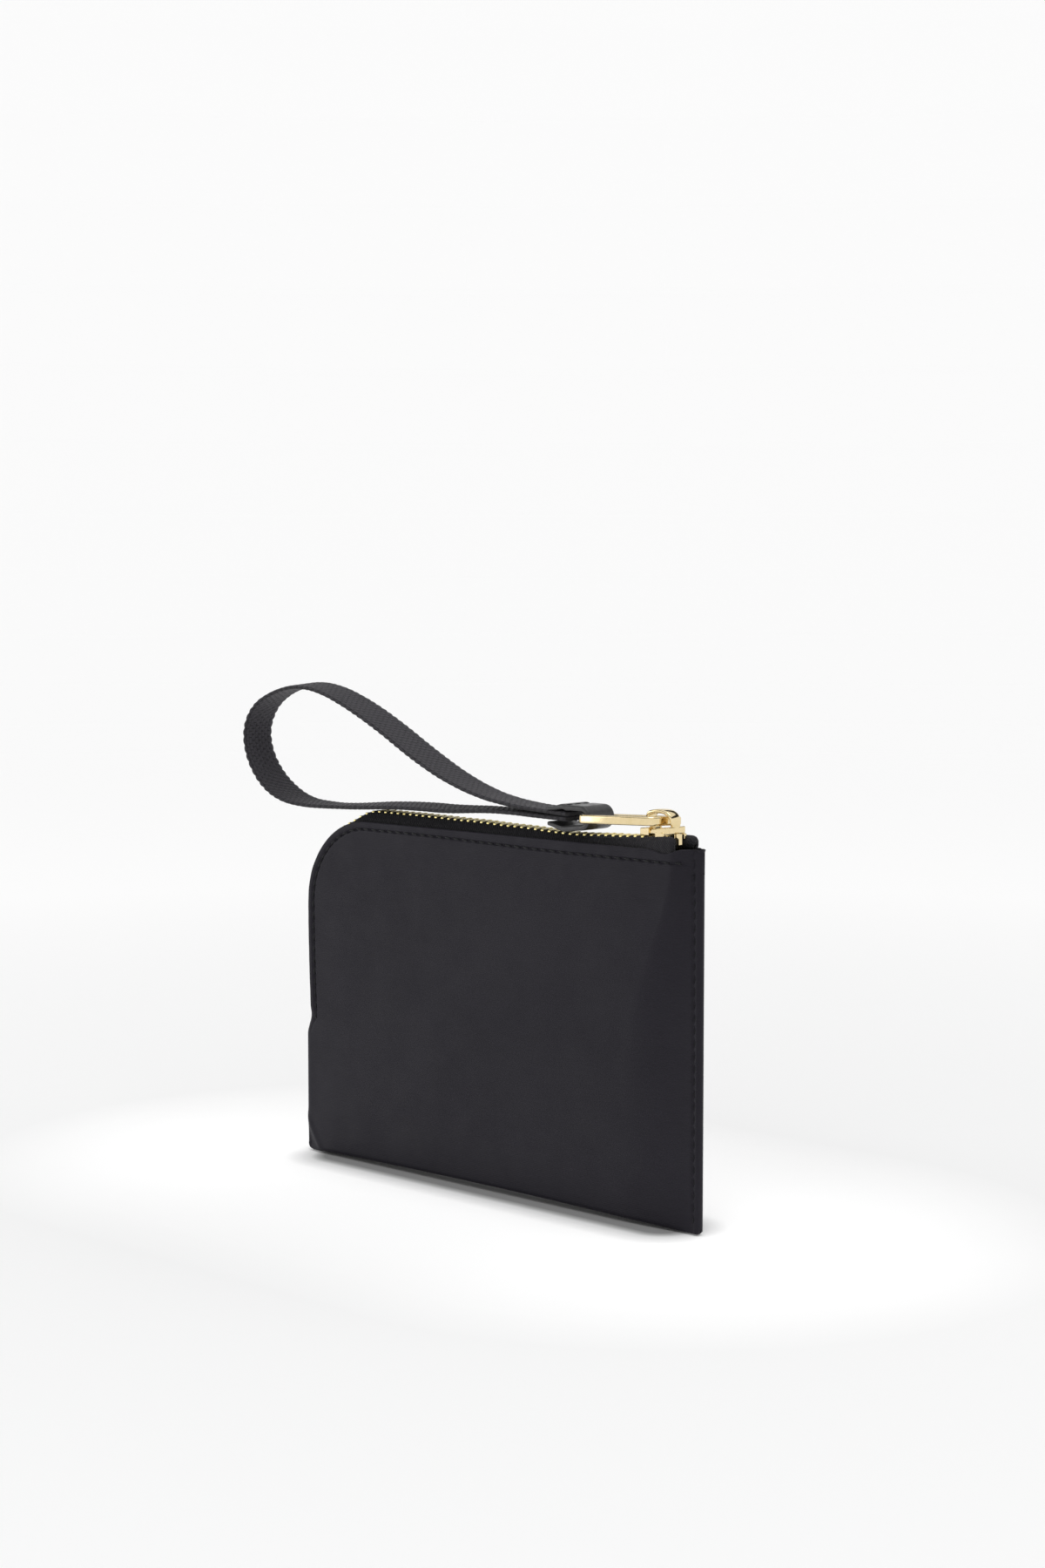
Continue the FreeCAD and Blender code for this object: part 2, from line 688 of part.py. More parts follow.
def make_tab_stitches():
    """Two rows of stitches on top of the leather that hold the webbing's ends."""
    thread = value("dims.thread")
    top = value("dims.pivot_z - dims.ring_drop + dims.tab_bend + dims.tab_thick")
    stitches = []
    for place_x in (value("dims.tab_end + 1.6"), value("dims.tab_end + 6.6")):
        for number in range(3):
            place_y = (number - 1) * value("dims.stitch_pitch")
            corner = Vector(place_x, place_y - value("dims.stitch_long / 2"), top)
            stitches.append(Part.makeBox(thread, value("dims.stitch_long"), thread, corner))
    new_feature("tab_stitching", Part.makeCompound(stitches))


# ---------------------------------------------------------------- the whole pouch

make_outer_shell()
make_lining()
make_side_seam("right_side_seam", "%s - dims.seam_width" % HALF, HALF, "%s - 3" % TOP)
make_side_seam("left_side_seam", "-%s" % HALF, "-%s + dims.seam_width" % HALF, "dims.zip_foot - 0.5")
make_tape("front_zip_tape", -1)
make_tape("back_zip_tape", 1)
make_teeth("front_teeth", -1, 0)
make_teeth("back_teeth", 1, value("dims.tooth_pitch / 2"))
make_bottom_stop()
make_top_stop("front_top_stop", -1)
make_top_stop("back_top_stop", 1)
make_slider_body()
make_slider_crown()
make_pull_ring()
make_leather_tab()
make_wrist_strap()
make_edge_stitches("front_topstitching", -1)
make_edge_stitches("back_topstitching", 1)
make_side_stitches()
make_tab_stitches()
doc.recompute()

# ---------------------------------------------------------------- checks and export

for item in doc.Objects:
    assert not {"Invalid", "Error"} & set(item.State), "%s is %s" % (item.Label, item.State)

pieces = [
    item
    for item in doc.Objects
    if item.isDerivedFrom("PartDesign::Body") or item.TypeId == "Part::Feature"
]
for piece in pieces:
    assert not piece.Shape.isNull(), piece.Label + " is empty"
    assert piece.Shape.isValid(), piece.Label + " is not valid"
for piece in pieces:
    piece.Shape.exportStep("parts/%s.step" % piece.Label)
    box = piece.Shape.BoundBox
    print("%-20s %3d solids  X %7.2f %7.2f  Y %6.2f %6.2f  Z %6.2f %6.2f" % (
        piece.Label, len(piece.Shape.Solids), box.XMin, box.XMax, box.YMin, box.YMax, box.ZMin, box.ZMax))
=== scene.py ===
import math
import random

import bpy
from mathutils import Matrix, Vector, noise


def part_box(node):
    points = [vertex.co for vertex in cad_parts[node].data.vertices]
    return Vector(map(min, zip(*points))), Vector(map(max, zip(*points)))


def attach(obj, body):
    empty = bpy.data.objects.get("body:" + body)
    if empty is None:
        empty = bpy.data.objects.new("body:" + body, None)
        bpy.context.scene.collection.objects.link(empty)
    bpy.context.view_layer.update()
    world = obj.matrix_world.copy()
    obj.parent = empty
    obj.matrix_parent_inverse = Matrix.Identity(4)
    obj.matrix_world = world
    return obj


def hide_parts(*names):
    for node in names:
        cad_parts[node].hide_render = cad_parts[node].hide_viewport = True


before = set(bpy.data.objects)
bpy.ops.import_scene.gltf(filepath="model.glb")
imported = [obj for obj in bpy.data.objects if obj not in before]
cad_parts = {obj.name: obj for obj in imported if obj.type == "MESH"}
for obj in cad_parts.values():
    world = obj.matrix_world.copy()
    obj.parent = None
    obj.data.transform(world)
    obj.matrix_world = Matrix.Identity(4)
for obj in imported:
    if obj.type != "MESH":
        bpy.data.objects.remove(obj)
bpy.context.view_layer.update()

random.seed(7)

# A slim black nylon pouch with a gold zip round one corner, in the frame of the CAD model:
# X along the pouch, -Y its front, Z up. Sizes are millimetres, apart from the strap's route,
# the sheets, the camera, the lights and the floor's ramps, which are metres.

MM = 0.001


def cad_range(node):
    """A node's lowest and highest corners, in millimetres."""
    low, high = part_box(node)
    return [value / MM for value in low], [value / MM for value in high]


SHELL_LOW, SHELL_HIGH = cad_range("outer_shell")
# The cloth ends a little inside the CAD panel at the right and at the top.
LEFT, RIGHT, TOP = SHELL_LOW[0], SHELL_HIGH[0] - 0.7, SHELL_HIGH[2] - 0.5
TAPE_LOW, TAPE_HIGH = cad_range("front_zip_tape")
ZIP_FOOT = TAPE_LOW[2]
TAPE_END = TAPE_HIGH[0]
ZIP_LEFT = TAPE_LOW[0] + TAPE_HIGH[2] - SHELL_HIGH[2]
CORNER = 24.5
CORNER_X, CORNER_Z = ZIP_LEFT + CORNER, TOP - CORNER
OPEN_HALF = SHELL_HIGH[1] - 0.35

# Lengths along the panel's edge from the top right corner, to the foot and to the zip's end.
STRAIGHT = RIGHT - CORNER_X
BEND = CORNER * math.pi / 2
EDGE_LONG = STRAIGHT + BEND + CORNER_Z
ZIP_LONG = EDGE_LONG - ZIP_FOOT


# ---------------------------------------------------------------- small helpers

def smooth(value):
    """0 below 0, 1 above 1 and a soft step between."""
    value = min(max(value, 0.0), 1.0)
    return value * value * (3 - 2 * value)


def mix(first, second, share):
    return first + (second - first) * share


def between(knots, value):
    """Soft steps from knot to knot: pairs of place and height."""
    for (low, low_height), (high, high_height) in zip(knots, knots[1:]):
        if value < high:
            return mix(low_height, high_height, smooth((value - low) / (high - low)))
    return knots[-1][1]


def new_mesh(name, points, faces, smooth_faces=True):
    """A mesh object from points in millimetres."""
    mesh = bpy.data.meshes.new(name)
    mesh.from_pydata([(x * MM, y * MM, z * MM) for x, y, z in points], [], faces)
    mesh.polygons.foreach_set("use_smooth", [smooth_faces] * len(mesh.polygons))
    mesh.validate()
    mesh.update()
    piece = bpy.data.objects.new(name, mesh)
    bpy.context.scene.collection.objects.link(piece)
    return piece


def skin(rings, caps=True):
    """Points and faces of a surface through closed rings of equally many points."""
    count = len(rings[0])
    points = [point for ring in rings for point in ring]
    faces = []
    for row in range(len(rings) - 1):
        for column in range(count):
            a = row * count + column
            b = row * count + (column + 1) % count
            faces.append((a, b, b + count, a + count))
    if caps:
        faces.append(tuple(range(count))[::-1])
        faces.append(tuple(range(len(points) - count, len(points))))
    return points, faces


def grid_faces(rows, columns, flip):
    """Faces of a grid of points, row by row."""
    faces = []
    for row in range(rows):
        for column in range(columns):
            a = row * (columns + 1) + column
            quad = (a, a + 1, a + columns + 2, a + columns + 1)
            faces.append(quad[::-1] if flip else quad)
    return faces


def merge(parts):
    """One list of points and one of faces from several."""
    points, faces = [], []
    for part_points, part_faces in parts:
        start = len(points)
        points.extend(part_points)
        faces.extend(tuple(index + start for index in face) for face in part_faces)
    return points, faces


def add_modifier(piece, kind, **settings):
    modifier = piece.modifiers.new(kind.title(), kind)
    for key, setting in settings.items():
        setattr(modifier, key, setting)


def add_piece(name, part, material, body, node, smooth_faces=True):
    """A mesh in one material that rides a body and stands in for a CAD node."""
    piece = new_mesh(name, *part, smooth_faces)
    piece.data.materials.append(material)
    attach(piece, body)
    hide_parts(node)
    return piece


# ---------------------------------------------------------------- materials

def new_material(name, color, roughness, metallic=0.0, **sockets):
    """A material whose shader has these plain numbers; detail is linked in afterwards."""
    material = bpy.data.materials.new(name)
    material.use_nodes = True
    shader = material.node_tree.nodes["Principled BSDF"]
    shader.inputs["Base Color"].default_value = (*color, 1)
    shader.inputs["Roughness"].default_value = roughness
    shader.inputs["Metallic"].default_value = metallic
    for key, number in sockets.items():
        shader.inputs[key.replace("_", " ")].default_value = number
    return material, material.node_tree, shader


def add_node(tree, kind, **inputs):
    """A node with its inputs given by name; another node's output is linked in."""
    node = tree.nodes.new("ShaderNode" + kind)
    for key, value in inputs.items():
        socket = node.inputs[key.replace("_", " ")]
        if isinstance(value, bpy.types.NodeSocket):
            tree.links.new(value, socket)
        else:
            socket.default_value = value
    return node


def place(tree, scale=(1, 1, 1), turn=(0, 0, 0)):
    """Object coordinates in millimetres, scaled and turned."""
    where = add_node(tree, "TexCoord").outputs["Object"]
    per_mm = [number / MM for number in scale]
    return add_node(tree, "Mapping", Vector=where, Scale=per_mm, Rotation=turn).outputs["Vector"]


def noise_at(tree, vector, scale, detail):
    """Soft noise from 0 to 1."""
    return add_node(tree, "TexNoise", Vector=vector, Scale=scale, Detail=detail,
                    Roughness=0.55).outputs["Fac"]


def wave_at(tree, vector, scale, direction="X", distortion=0.0):
    """Parallel bands from 0 to 1 along a direction."""
    texture = add_node(tree, "TexWave", Vector=vector, Scale=scale, Distortion=distortion,
                       Detail=1.0, Detail_Scale=0.6)
    texture.wave_type = "BANDS"
    texture.bands_direction = direction
    return texture.outputs["Fac"]


def ramp(tree, factor, low, high, start=0.0, end=1.0):
    """A number or a colour that runs between two values."""
    if hasattr(low, "__len__"):
        node = add_node(tree, "ValToRGB", Fac=factor)
        first, last = node.color_ramp.elements
        first.position, first.color = start, (*low, 1)
        last.position, last.color = end, (*high, 1)
        return node.outputs["Color"]
    return add_node(tree, "MapRange", Value=factor, From_Min=start, From_Max=end, To_Min=low,
                    To_Max=high).outputs["Result"]


def combine(tree, first, second, operation="ADD"):
    """A sum, product or the like of one output and another output or a number."""
    node = add_node(tree, "Math")
    node.operation = operation
    tree.links.new(first, node.inputs[0])
    if isinstance(second, float):
        node.inputs[1].default_value = second
    else:
        tree.links.new(second, node.inputs[1])
    return node.outputs["Value"]


def weighted_sum(tree, *terms):
    """The sum of two outputs, each times a number."""
    first, second = (combine(tree, output, weight, "MULTIPLY") for output, weight in terms)
    return combine(tree, first, second)


def vary(tree, shader, socket, factor, low, high, start=0.0, end=1.0):
    """Feeds one of the shader's sockets from a ramp."""
    tree.links.new(ramp(tree, factor, low, high, start, end), shader.inputs[socket])


def length_of(tree, vector):
    node = add_node(tree, "VectorMath", Vector=vector)
    node.operation = "LENGTH"
    return node.outputs["Value"]


def bump(tree, shader, height, distance, strength):
    """Raises the surface by this many millimetres where the height is 1."""
    node = add_node(tree, "Bump", Height=height, Distance=distance * MM, Strength=strength)
    tree.links.new(node.outputs["Normal"], shader.inputs["Normal"])


# A wave texture of this scale has one band in each millimetre.
BANDS_PER_UNIT = 2 * math.pi / 20
RIB_PITCH = 0.42
TWILL_PITCH = 0.27
# The webbing's yarns: how far one runs on the surface, and its width.
FLOAT_LONG = 1.9
FLOAT_WIDE = 1.15


def nylon_material():
    """Satin nylon with fine ribs across the panel and a faint twill over them."""
    material, tree, shader = new_material(
        "nylon", (0.0125, 0.0108, 0.0165), 0.5, Specular_IOR_Level=0.17,
        Sheen_Weight=0.05, Sheen_Roughness=0.4,
    )
    shader.inputs["Sheen Tint"].default_value = (0.75, 0.75, 0.85, 1)
    flat = place(tree)
    ribs = wave_at(tree, flat, BANDS_PER_UNIT / RIB_PITCH, "Z", 0.2)
    twill = wave_at(tree, place(tree, turn=(0, math.radians(38), 0)), BANDS_PER_UNIT / TWILL_PITCH, "X")
    weave = weighted_sum(tree, (ribs, 0.75), (twill, 0.25))
    bump(tree, shader, weave, 0.035, 0.7)
    streaks = noise_at(tree, place(tree, scale=(0.08, 1, 1.7)), 1.0, 2)
    cloud = weighted_sum(tree, (noise_at(tree, flat, 0.035, 3), 0.55), (streaks, 0.45))
    vary(tree, shader, "Base Color", cloud, (0.0094, 0.0081, 0.0127),
         (0.0122, 0.0106, 0.0163), 0.3, 0.7)
    vary(tree, shader, "Roughness", noise_at(tree, flat, 0.12, 2), 0.46, 0.56, 0.3, 0.7)
    return material


def tape_material():
    """Matt woven zip tape, a fine herringbone."""
    material, tree, shader = new_material(
        "zip_tape", (0.006, 0.006, 0.007), 0.82, Specular_IOR_Level=0.1,
        Sheen_Weight=0.06, Sheen_Roughness=0.5,
    )
    flat = place(tree)
    first = wave_at(tree, place(tree, turn=(0, math.radians(45), 0)), BANDS_PER_UNIT / 0.55, "X", 0.4)
    second = wave_at(tree, flat, BANDS_PER_UNIT / 0.7, "Y", 0.6)
    bump(tree, shader, combine(tree, first, second, "MULTIPLY"), 0.2, 1.0)
    sideways = add_node(tree, "SeparateXYZ", Vector=flat).outputs["X"]
    toward_end = ramp(tree, sideways, 0.0, 0.6, 45.0, 60.0)
    shade = combine(tree, noise_at(tree, flat, 1.4, 4), toward_end)
    vary(tree, shader, "Base Color", shade, (0.004, 0.004, 0.005), (0.021, 0.020, 0.023), 0.35, 1.0)
    return material


def webbing_material():
    """Woven strap: rows of long yarns over gaps darkened with painted shade, with fine fibres along
    them.
    """
    material, tree, shader = new_material(
        "webbing", (0.017, 0.016, 0.019), 0.55, Specular_IOR_Level=0.3,
        Sheen_Weight=0.1, Sheen_Roughness=0.4,
    )
    uv_map = add_node(tree, "UVMap")
    uv_map.uv_map = "length_and_width"
    uv = uv_map.outputs["UV"]
    yarns = add_node(tree, "TexBrick", Vector=uv, Scale=1.0, Brick_Width=FLOAT_LONG,
                     Row_Height=FLOAT_WIDE, Mortar_Size=0.2, Mortar_Smooth=1.0)
    yarns.offset = 0.5
    yarns.offset_frequency = 2
    gap = yarns.outputs["Fac"]
    turned = add_node(tree, "Mapping", Vector=uv, Rotation=(0, 0, math.radians(32)))
    fibres = wave_at(tree, turned.outputs["Vector"], BANDS_PER_UNIT / 0.34, "X", 0.3)
    bump(tree, shader, weighted_sum(tree, (gap, -0.8), (fibres, 0.25)), 0.28, 0.9)
    # Painted shade: the colour darkens in the gaps between the yarns.
    vary(tree, shader, "Base Color", gap, (0.035, 0.032, 0.040), (0.007, 0.006, 0.009), 0.15, 0.9)
    return material


def thread_material():
    """Black sewing thread with slanting plies."""
    material, tree, shader = new_material(
        "thread", (0.006, 0.006, 0.007), 0.5, Specular_IOR_Level=0.2, Sheen_Weight=0.05,
    )
    ply = wave_at(tree, place(tree, turn=(0, math.radians(35), 0)), BANDS_PER_UNIT / 0.28, "X")
    bump(tree, shader, ply, 0.05, 0.7)
    vary(tree, shader, "Base Color", ply, (0.003, 0.003, 0.004), (0.009, 0.009, 0.011))
    return material


def leather_material():
    """Smooth black leather with a fine grain and a semi-gloss finish."""
    material, tree, shader = new_material(
        "leather", (0.011, 0.0105, 0.0115), 0.36, Specular_IOR_Level=0.55, Coat_Weight=0.3,
        Coat_Roughness=0.28,
    )
    flat = place(tree)
    cells = add_node(tree, "TexVoronoi", Vector=flat, Scale=2.6)
    cells.feature = "DISTANCE_TO_EDGE"
    grain = combine(tree, ramp(tree, cells.outputs["Distance"], 0.0, 1.0, 0.0, 0.22),
                    combine(tree, noise_at(tree, flat, 3.0, 4), 0.6, "MULTIPLY"))
    bump(tree, shader, grain, 0.05, 0.6)
    vary(tree, shader, "Roughness", noise_at(tree, flat, 0.5, 4), 0.32, 0.5, 0.3, 0.7)
    vary(tree, shader, "Base Color", noise_at(tree, flat, 0.4, 3), (0.009, 0.0085, 0.0095),
         (0.015, 0.0145, 0.0155), 0.3, 0.7)
    return material


def gold_material():
    """Pale plated gold: mirror-like, with slight brushing and faint wear."""
    material, tree, shader = new_material("gold_metal", (0.82, 0.67, 0.42), 0.13, 1.0)
    flat = place(tree)
    vary(tree, shader, "Roughness", noise_at(tree, flat, 0.8, 5), 0.08, 0.15, 0.3, 0.7)
    vary(tree, shader, "Base Color", noise_at(tree, flat, 0.3, 3), (0.78, 0.63, 0.35),
         (0.85, 0.70, 0.43), 0.3, 0.7)
    bump(tree, shader, noise_at(tree, place(tree, scale=(0.4, 3, 3)), 1.5, 4), 0.006, 0.12)
    return material


def brass_material():
    """Brighter, yellower metal of the zip's small teeth."""
    material, tree, shader = new_material("brass", (0.95, 0.80, 0.34), 0.3, 1.0)
    flat = place(tree)
    vary(tree, shader, "Roughness", noise_at(tree, flat, 1.1, 4), 0.22, 0.38, 0.3, 0.7)
    vary(tree, shader, "Base Color", noise_at(tree, flat, 0.5, 3), (0.90, 0.75, 0.30),
         (0.98, 0.85, 0.40), 0.3, 0.7)
    return material


def lining_material():
    """Plain cloth, a square weave."""
    material, tree, shader = new_material(
        "lining_cloth", (0.02, 0.02, 0.023), 0.75, Specular_IOR_Level=0.3, Sheen_Weight=0.2,
    )
    flat = place(tree)
    weave = combine(tree, wave_at(tree, flat, BANDS_PER_UNIT / 0.5, "X"),
                    wave_at(tree, flat, BANDS_PER_UNIT / 0.5, "Z"), "MULTIPLY")
    bump(tree, shader, weave, 0.05, 0.6)
    vary(tree, shader, "Base Color", weave, (0.015, 0.015, 0.018), (0.028, 0.028, 0.032))
    return material


NYLON = nylon_material()
TAPE = tape_material()
WEBBING = webbing_material()
THREAD = thread_material()
LEATHER = leather_material()
GOLD = gold_material()
BRASS = brass_material()
LINING = lining_material()


# ---------------------------------------------------------------- camera, light and floor

def make_camera():
    """The viewing angle: 43.6 degrees to the pouch's right, a little above it."""
    data = bpy.data.cameras.new("camera")
    data.sensor_fit = "VERTICAL"
    data.sensor_height = 36
    data.lens = 60
    data.clip_start = 0.01
    camera = bpy.data.objects.new("camera", data)
    camera.location = (0.4968, -0.5105, 0.1703)
    camera.rotation_euler = (math.radians(90 - 4.63), 0, math.radians(43.6))
    bpy.context.scene.collection.objects.link(camera)
    bpy.context.scene.camera = camera


FLOOR_REACH, BACKDROP_BEND, BACKDROP_TOP = 1600, 800, 2000
DARK_ABOVE = 1300
# The shadow's middle line is the pouch's foot, without its last 14 mm at each end.
SHADOW_HALF = RIGHT - 14


def floor_paper():
    """White paper that glows a little more the further it is, so that it looks evenly white,
    with a painted close dark shadow along the pouch's foot."""
    material, tree, shader = new_material("floor_paper", (0.74, 0.74, 0.74), 0.9,
                                          Specular_IOR_Level=0.0)
    shader.inputs["Emission Color"].default_value = (1, 1, 1, 1)
    where = add_node(tree, "TexCoord").outputs["Object"]
    away = length_of(tree, where)
    axes = add_node(tree, "SeparateXYZ", Vector=where).outputs
    beyond = combine(tree, combine(tree, axes["X"], 0.0, "ABSOLUTE"), SHADOW_HALF * MM, "SUBTRACT")
    past = combine(tree, beyond, 0.0, "MAXIMUM")
    beside = length_of(tree, add_node(tree, "CombineXYZ", X=past, Y=axes["Y"]).outputs["Vector"])
    # Distances in metres: the painted close shadow's edge, its slow fade, and the far floor's glow.
    glow = combine(tree, ramp(tree, beside, 0.0, 0.38, 0.0085, 0.018),
                   ramp(tree, beside, 0.0, -0.25, 0.028, 0.11))
    glow = combine(tree, glow, ramp(tree, away, 0.0, 0.60, 0.1, 0.7))
    tree.links.new(glow, shader.inputs["Emission Strength"])
    # Painted shadow: the paper's colour is darker close along the pouch's foot.
    albedo_and_painted_shadow = combine(tree, ramp(tree, away, 0.80, 0.28, 0.1, 0.7),
                     ramp(tree, beside, 0.36, 1.0, 0.0065, 0.0105), "MULTIPLY")
    tree.links.new(albedo_and_painted_shadow, shader.inputs["Base Color"])
    return material


def make_floor():
    """A pale floor that curves up into a backdrop all round, with a dark band at the top."""
    profile = [(50, 0), (150, 0), (400, 0), (FLOOR_REACH, 0)]
    for step in range(1, 13):
        angle = math.radians(90 * step / 12)
        profile.append((FLOOR_REACH + BACKDROP_BEND * math.sin(angle),
                        BACKDROP_BEND - BACKDROP_BEND * math.cos(angle)))
    profile += [(FLOOR_REACH + BACKDROP_BEND, 1200), (FLOOR_REACH + BACKDROP_BEND, BACKDROP_TOP)]
    corners = 64
    turns = [2 * math.pi * step / corners for step in range(corners)]
    rings = [[(reach * math.cos(turn), reach * math.sin(turn), height) for turn in turns]
             for reach, height in profile]
    points, faces = skin(rings, caps=False)
    faces.append(tuple(range(corners))[::-1])
    floor = new_mesh("floor", points, faces, False)
    floor.data.materials.append(floor_paper())
    floor.data.materials.append(
        new_material("wall_band", (0.03, 0.03, 0.03), 0.9, Specular_IOR_Level=0.0)[0])
    for face in floor.data.polygons:
        if face.center.z > DARK_ABOVE * MM:
            face.material_index = 1


def add_light(name, location, size, power):
    """A soft box that faces the middle of the pouch."""
    data = bpy.data.lights.new(name, "AREA")
    data.shape = "RECTANGLE"
    data.size, data.size_y = size
    data.energy = power
    light = bpy.data.objects.new(name, data)
    light.location = location
    away = Vector(location) - Vector((0, 0, 0.05))
    light.rotation_euler = away.to_track_quat("Z", "Y").to_euler()
    bpy.context.scene.collection.objects.link(light)


def make_lights():
    """A white room with a soft box above and one at the left front."""
    world = bpy.data.worlds.new("studio")
    world.use_nodes = True
    background = world.node_tree.nodes["Background"]
    background.inputs["Color"].default_value = (1, 1, 1, 1)
    background.inputs["Strength"].default_value = 0.9
    bpy.context.scene.world = world
    add_light("top_box", (0.25, -0.15, 1.2), (0.6, 0.6), 4)
    add_light("left_box", (-1.15, -0.85, 0.35), (0.5, 0.8), 2.2)
    bpy.context.scene.view_settings.view_transform = "Standard"


make_camera()
make_floor()
make_lights()


# ---------------------------------------------------------------- the pouch's shape

RIGHT_SEAM = 1.1
LEFT_SEAM = 2.8
FOLD_HALF = 2.8
FOLD_RISE = 1.5
STITCH_INSET = 2.0
STITCH_PITCH = 3.3
BAND = 4.4
HEM_ROLL = 0.42
FOOT_ROUND = 1.8
HEM_DEEP = 6.0


def edge_frame(along):
    """A point on the panel's edge and its outward direction, in X and Z, this far from the
    top right corner along the top, round the corner and down the left side."""
    if along < STRAIGHT:
        return (RIGHT - along, TOP), (0.0, 1.0)
    if along < STRAIGHT + BEND:
        angle = (along - STRAIGHT) / CORNER
        out = (-math.sin(angle), math.cos(angle))
        return (CORNER_X + CORNER * out[0], CORNER_Z + CORNER * out[1]), out
    z = EDGE_LONG - along
    return (left_edge(z), z), (-1.0, 0.0)


def left_edge(z):
    """The panel's left edge: the sewn part stands further out than the zipped part."""
    return mix(LEFT, ZIP_LEFT, smooth((z - ZIP_FOOT + 4.5) / 8))


def left_open(z):
    """1 where the left side is zipped, 0 where it is sewn shut."""
    return smooth((z - ZIP_FOOT + 5) / 10)


def half_depth(x, z):
    """From the middle plane out to the nylon's outer face."""
    base = FOLD_HALF
    if z < FOLD_RISE:
        base *= math.sqrt(max(1 - (1 - z / FOLD_RISE) ** 2, 0))
    base += (OPEN_HALF - FOLD_HALF) * smooth((z - 1) / 70)
    from_right = RIGHT - x
    from_left = x - left_edge(z)
    closing = mix(24, 7, smooth((z - 40) / 60))
    depth = min(base, mix(RIGHT_SEAM, base, smooth(from_right / closing)))
    sewn = min(depth, mix(LEFT_SEAM, depth, smooth(from_left / 20)))
    opened = left_open(z)
    depth = mix(sewn, depth, opened)
    for gap, shut, seam, square in ((from_right, 1.0, RIGHT_SEAM, 2.0),
                                    (from_left, 1 - opened, LEFT_SEAM, 3.6)):
        if gap < seam and shut > 0:
            round_off = max(1 - (1 - max(gap, 0) / seam) ** square, 0) ** (1 / square)
            depth *= mix(1.0, round_off, shut)
    return depth


def waves(x, z, seed):
    """Soft unevenness of the cloth, fading out towards the edges."""
    inside = min(RIGHT - x, z, x - left_edge(z), TOP - z)
    fade = smooth(inside / 16)
    broad = noise.noise(Vector((x * 0.022, z * 0.03, seed)))
    small = noise.noise(Vector((x * 0.07, z * 0.06, seed + 5)))
    return fade * (0.55 * broad + 0.12 * small)


def lift(x, z):
    """Upward shifts: the bottom fold arches between its rounded corners, and the hem sags
    towards its open end, right of the slider."""
    across = (x - LEFT) / (RIGHT - LEFT)
    rise = 0.85 * math.sin(math.pi * min(max(across, 0), 1)) ** 0.8 * (1 - smooth(z / 45))
    near_end = min(x - LEFT, RIGHT - x)
    if near_end < FOOT_ROUND:
        gap = FOOT_ROUND - max(near_end, 0)
        rise += (FOOT_ROUND - math.sqrt(max(FOOT_ROUND ** 2 - gap ** 2, 0))) * smooth(1 - z / 9)
    sag = 0.8 * math.exp(-(((x - 65) / 3.0) ** 2)) - 0.5 * smooth((x - 67) / 3)
    return rise - sag * smooth((z - TOP + 3.4) / 3.2)


def stitch_inset(along):
    """The row of stitches drifts away from the hem's edge towards the open end."""
    return STITCH_INSET + 0.1 + 1.0 * smooth((RIGHT - along + 35) / 75)


def seam_press(off, along):
    """How far a row of stitches pulls the cloth in, this far beside it."""
    groove = math.exp(-((off / 0.4) ** 2))
    pull = 0.42 + 0.26 * math.cos(2 * math.pi * along / STITCH_PITCH)
    pull += 0.05 * noise.noise(Vector((along * 0.35, 3.0, 0)))
    return groove * pull


def panel_point(x, z, side, inset, along):
    """A point on a panel's outer face. inset and along place it in the zip's hem."""
    depth = half_depth(x, z)
    open_here = left_open(z) if x < CORNER_X else 1.0
    row = stitch_inset(along)
    near_right = smooth((RIGHT - x) / 5)
    depth -= seam_press(inset - row, along) * open_here * near_right
    depth -= seam_press(RIGHT - x - STITCH_INSET, TOP - z) * smooth((z - 2) / 3) * 1.2
    puff = 0.26 + 0.1 * noise.noise(Vector((along * 0.25, inset * 0.3, side)))
    hem = puff * smooth((row + 0.2 - inset) / 0.9) * open_here
    depth += (hem + waves(x, z, 3.0 + side)) * smooth((RIGHT - x) / 3)
    depth += 0.25 * smooth((RIGHT - x) / 0.8) * smooth((STITCH_INSET - (RIGHT - x)) / 0.8)
    if side < 0:
        # A crease cuts off the front's lower left corner, which sinks behind it.
        inside = (x - LEFT) / 7.0 + z / 11.0 - 1.0
        depth += 0.22 * math.exp(-((inside / 0.16) ** 2)) * smooth(z / 2)
        depth -= 1.1 * smooth(-inside * 1.3) * smooth(z / 3) * smooth((x - LEFT) / 2)
    return (x, side * max(depth, 0.0), max(z + lift(x, z), 0.08))


# ---------------------------------------------------------------- the nylon shell

COLUMNS = 250
ROWS = 170
CLOTH = 0.3


def eased(share):
    """Closer steps near both ends."""
    return share - 0.3 * math.sin(2 * math.pi * share) / (2 * math.pi)


def band_line(first, last, count):
    """Points inside the hem band between two places along the edge: (x, z, along)."""
    line = []
    for number in range(count + 1):
        along = mix(first, last, eased(number / count))
        (x, z), out = edge_frame(along)
        line.append((x - out[0] * BAND, z - out[1] * BAND, along))
    return line


def inner_field():
    """A grid of (x, z) that follows the panel's outline, rows from the bottom up, and the
    grid's top and left sides."""
    half_corner = STRAIGHT + BEND / 2
    top_side = band_line(half_corner, 0.0, COLUMNS)
    left_side = band_line(EDGE_LONG, half_corner, ROWS)
    x_low = left_side[0][0]
    corners = ((x_low, 0.0), (RIGHT, 0.0), top_side[0], (RIGHT, TOP - BAND))
    field = []
    for row in range(ROWS + 1):
        up = row / ROWS
        left = left_side[row]
        right = (RIGHT, (TOP - BAND) * eased(up))
        for column in range(COLUMNS + 1):
            across = column / COLUMNS
            bottom = (mix(x_low, RIGHT, eased(across)), 0.0)
            top = top_side[column]
            point = []
            for axis in (0, 1):
                straight = mix(bottom[axis], top[axis], up) + mix(left[axis], right[axis], across)
                twice = mix(mix(corners[0][axis], corners[1][axis], across),
                            mix(corners[2][axis], corners[3][axis], across), up)
                point.append(straight - twice)
            field.append((point[0], max(point[1], 0.0)))
    return field, top_side, left_side


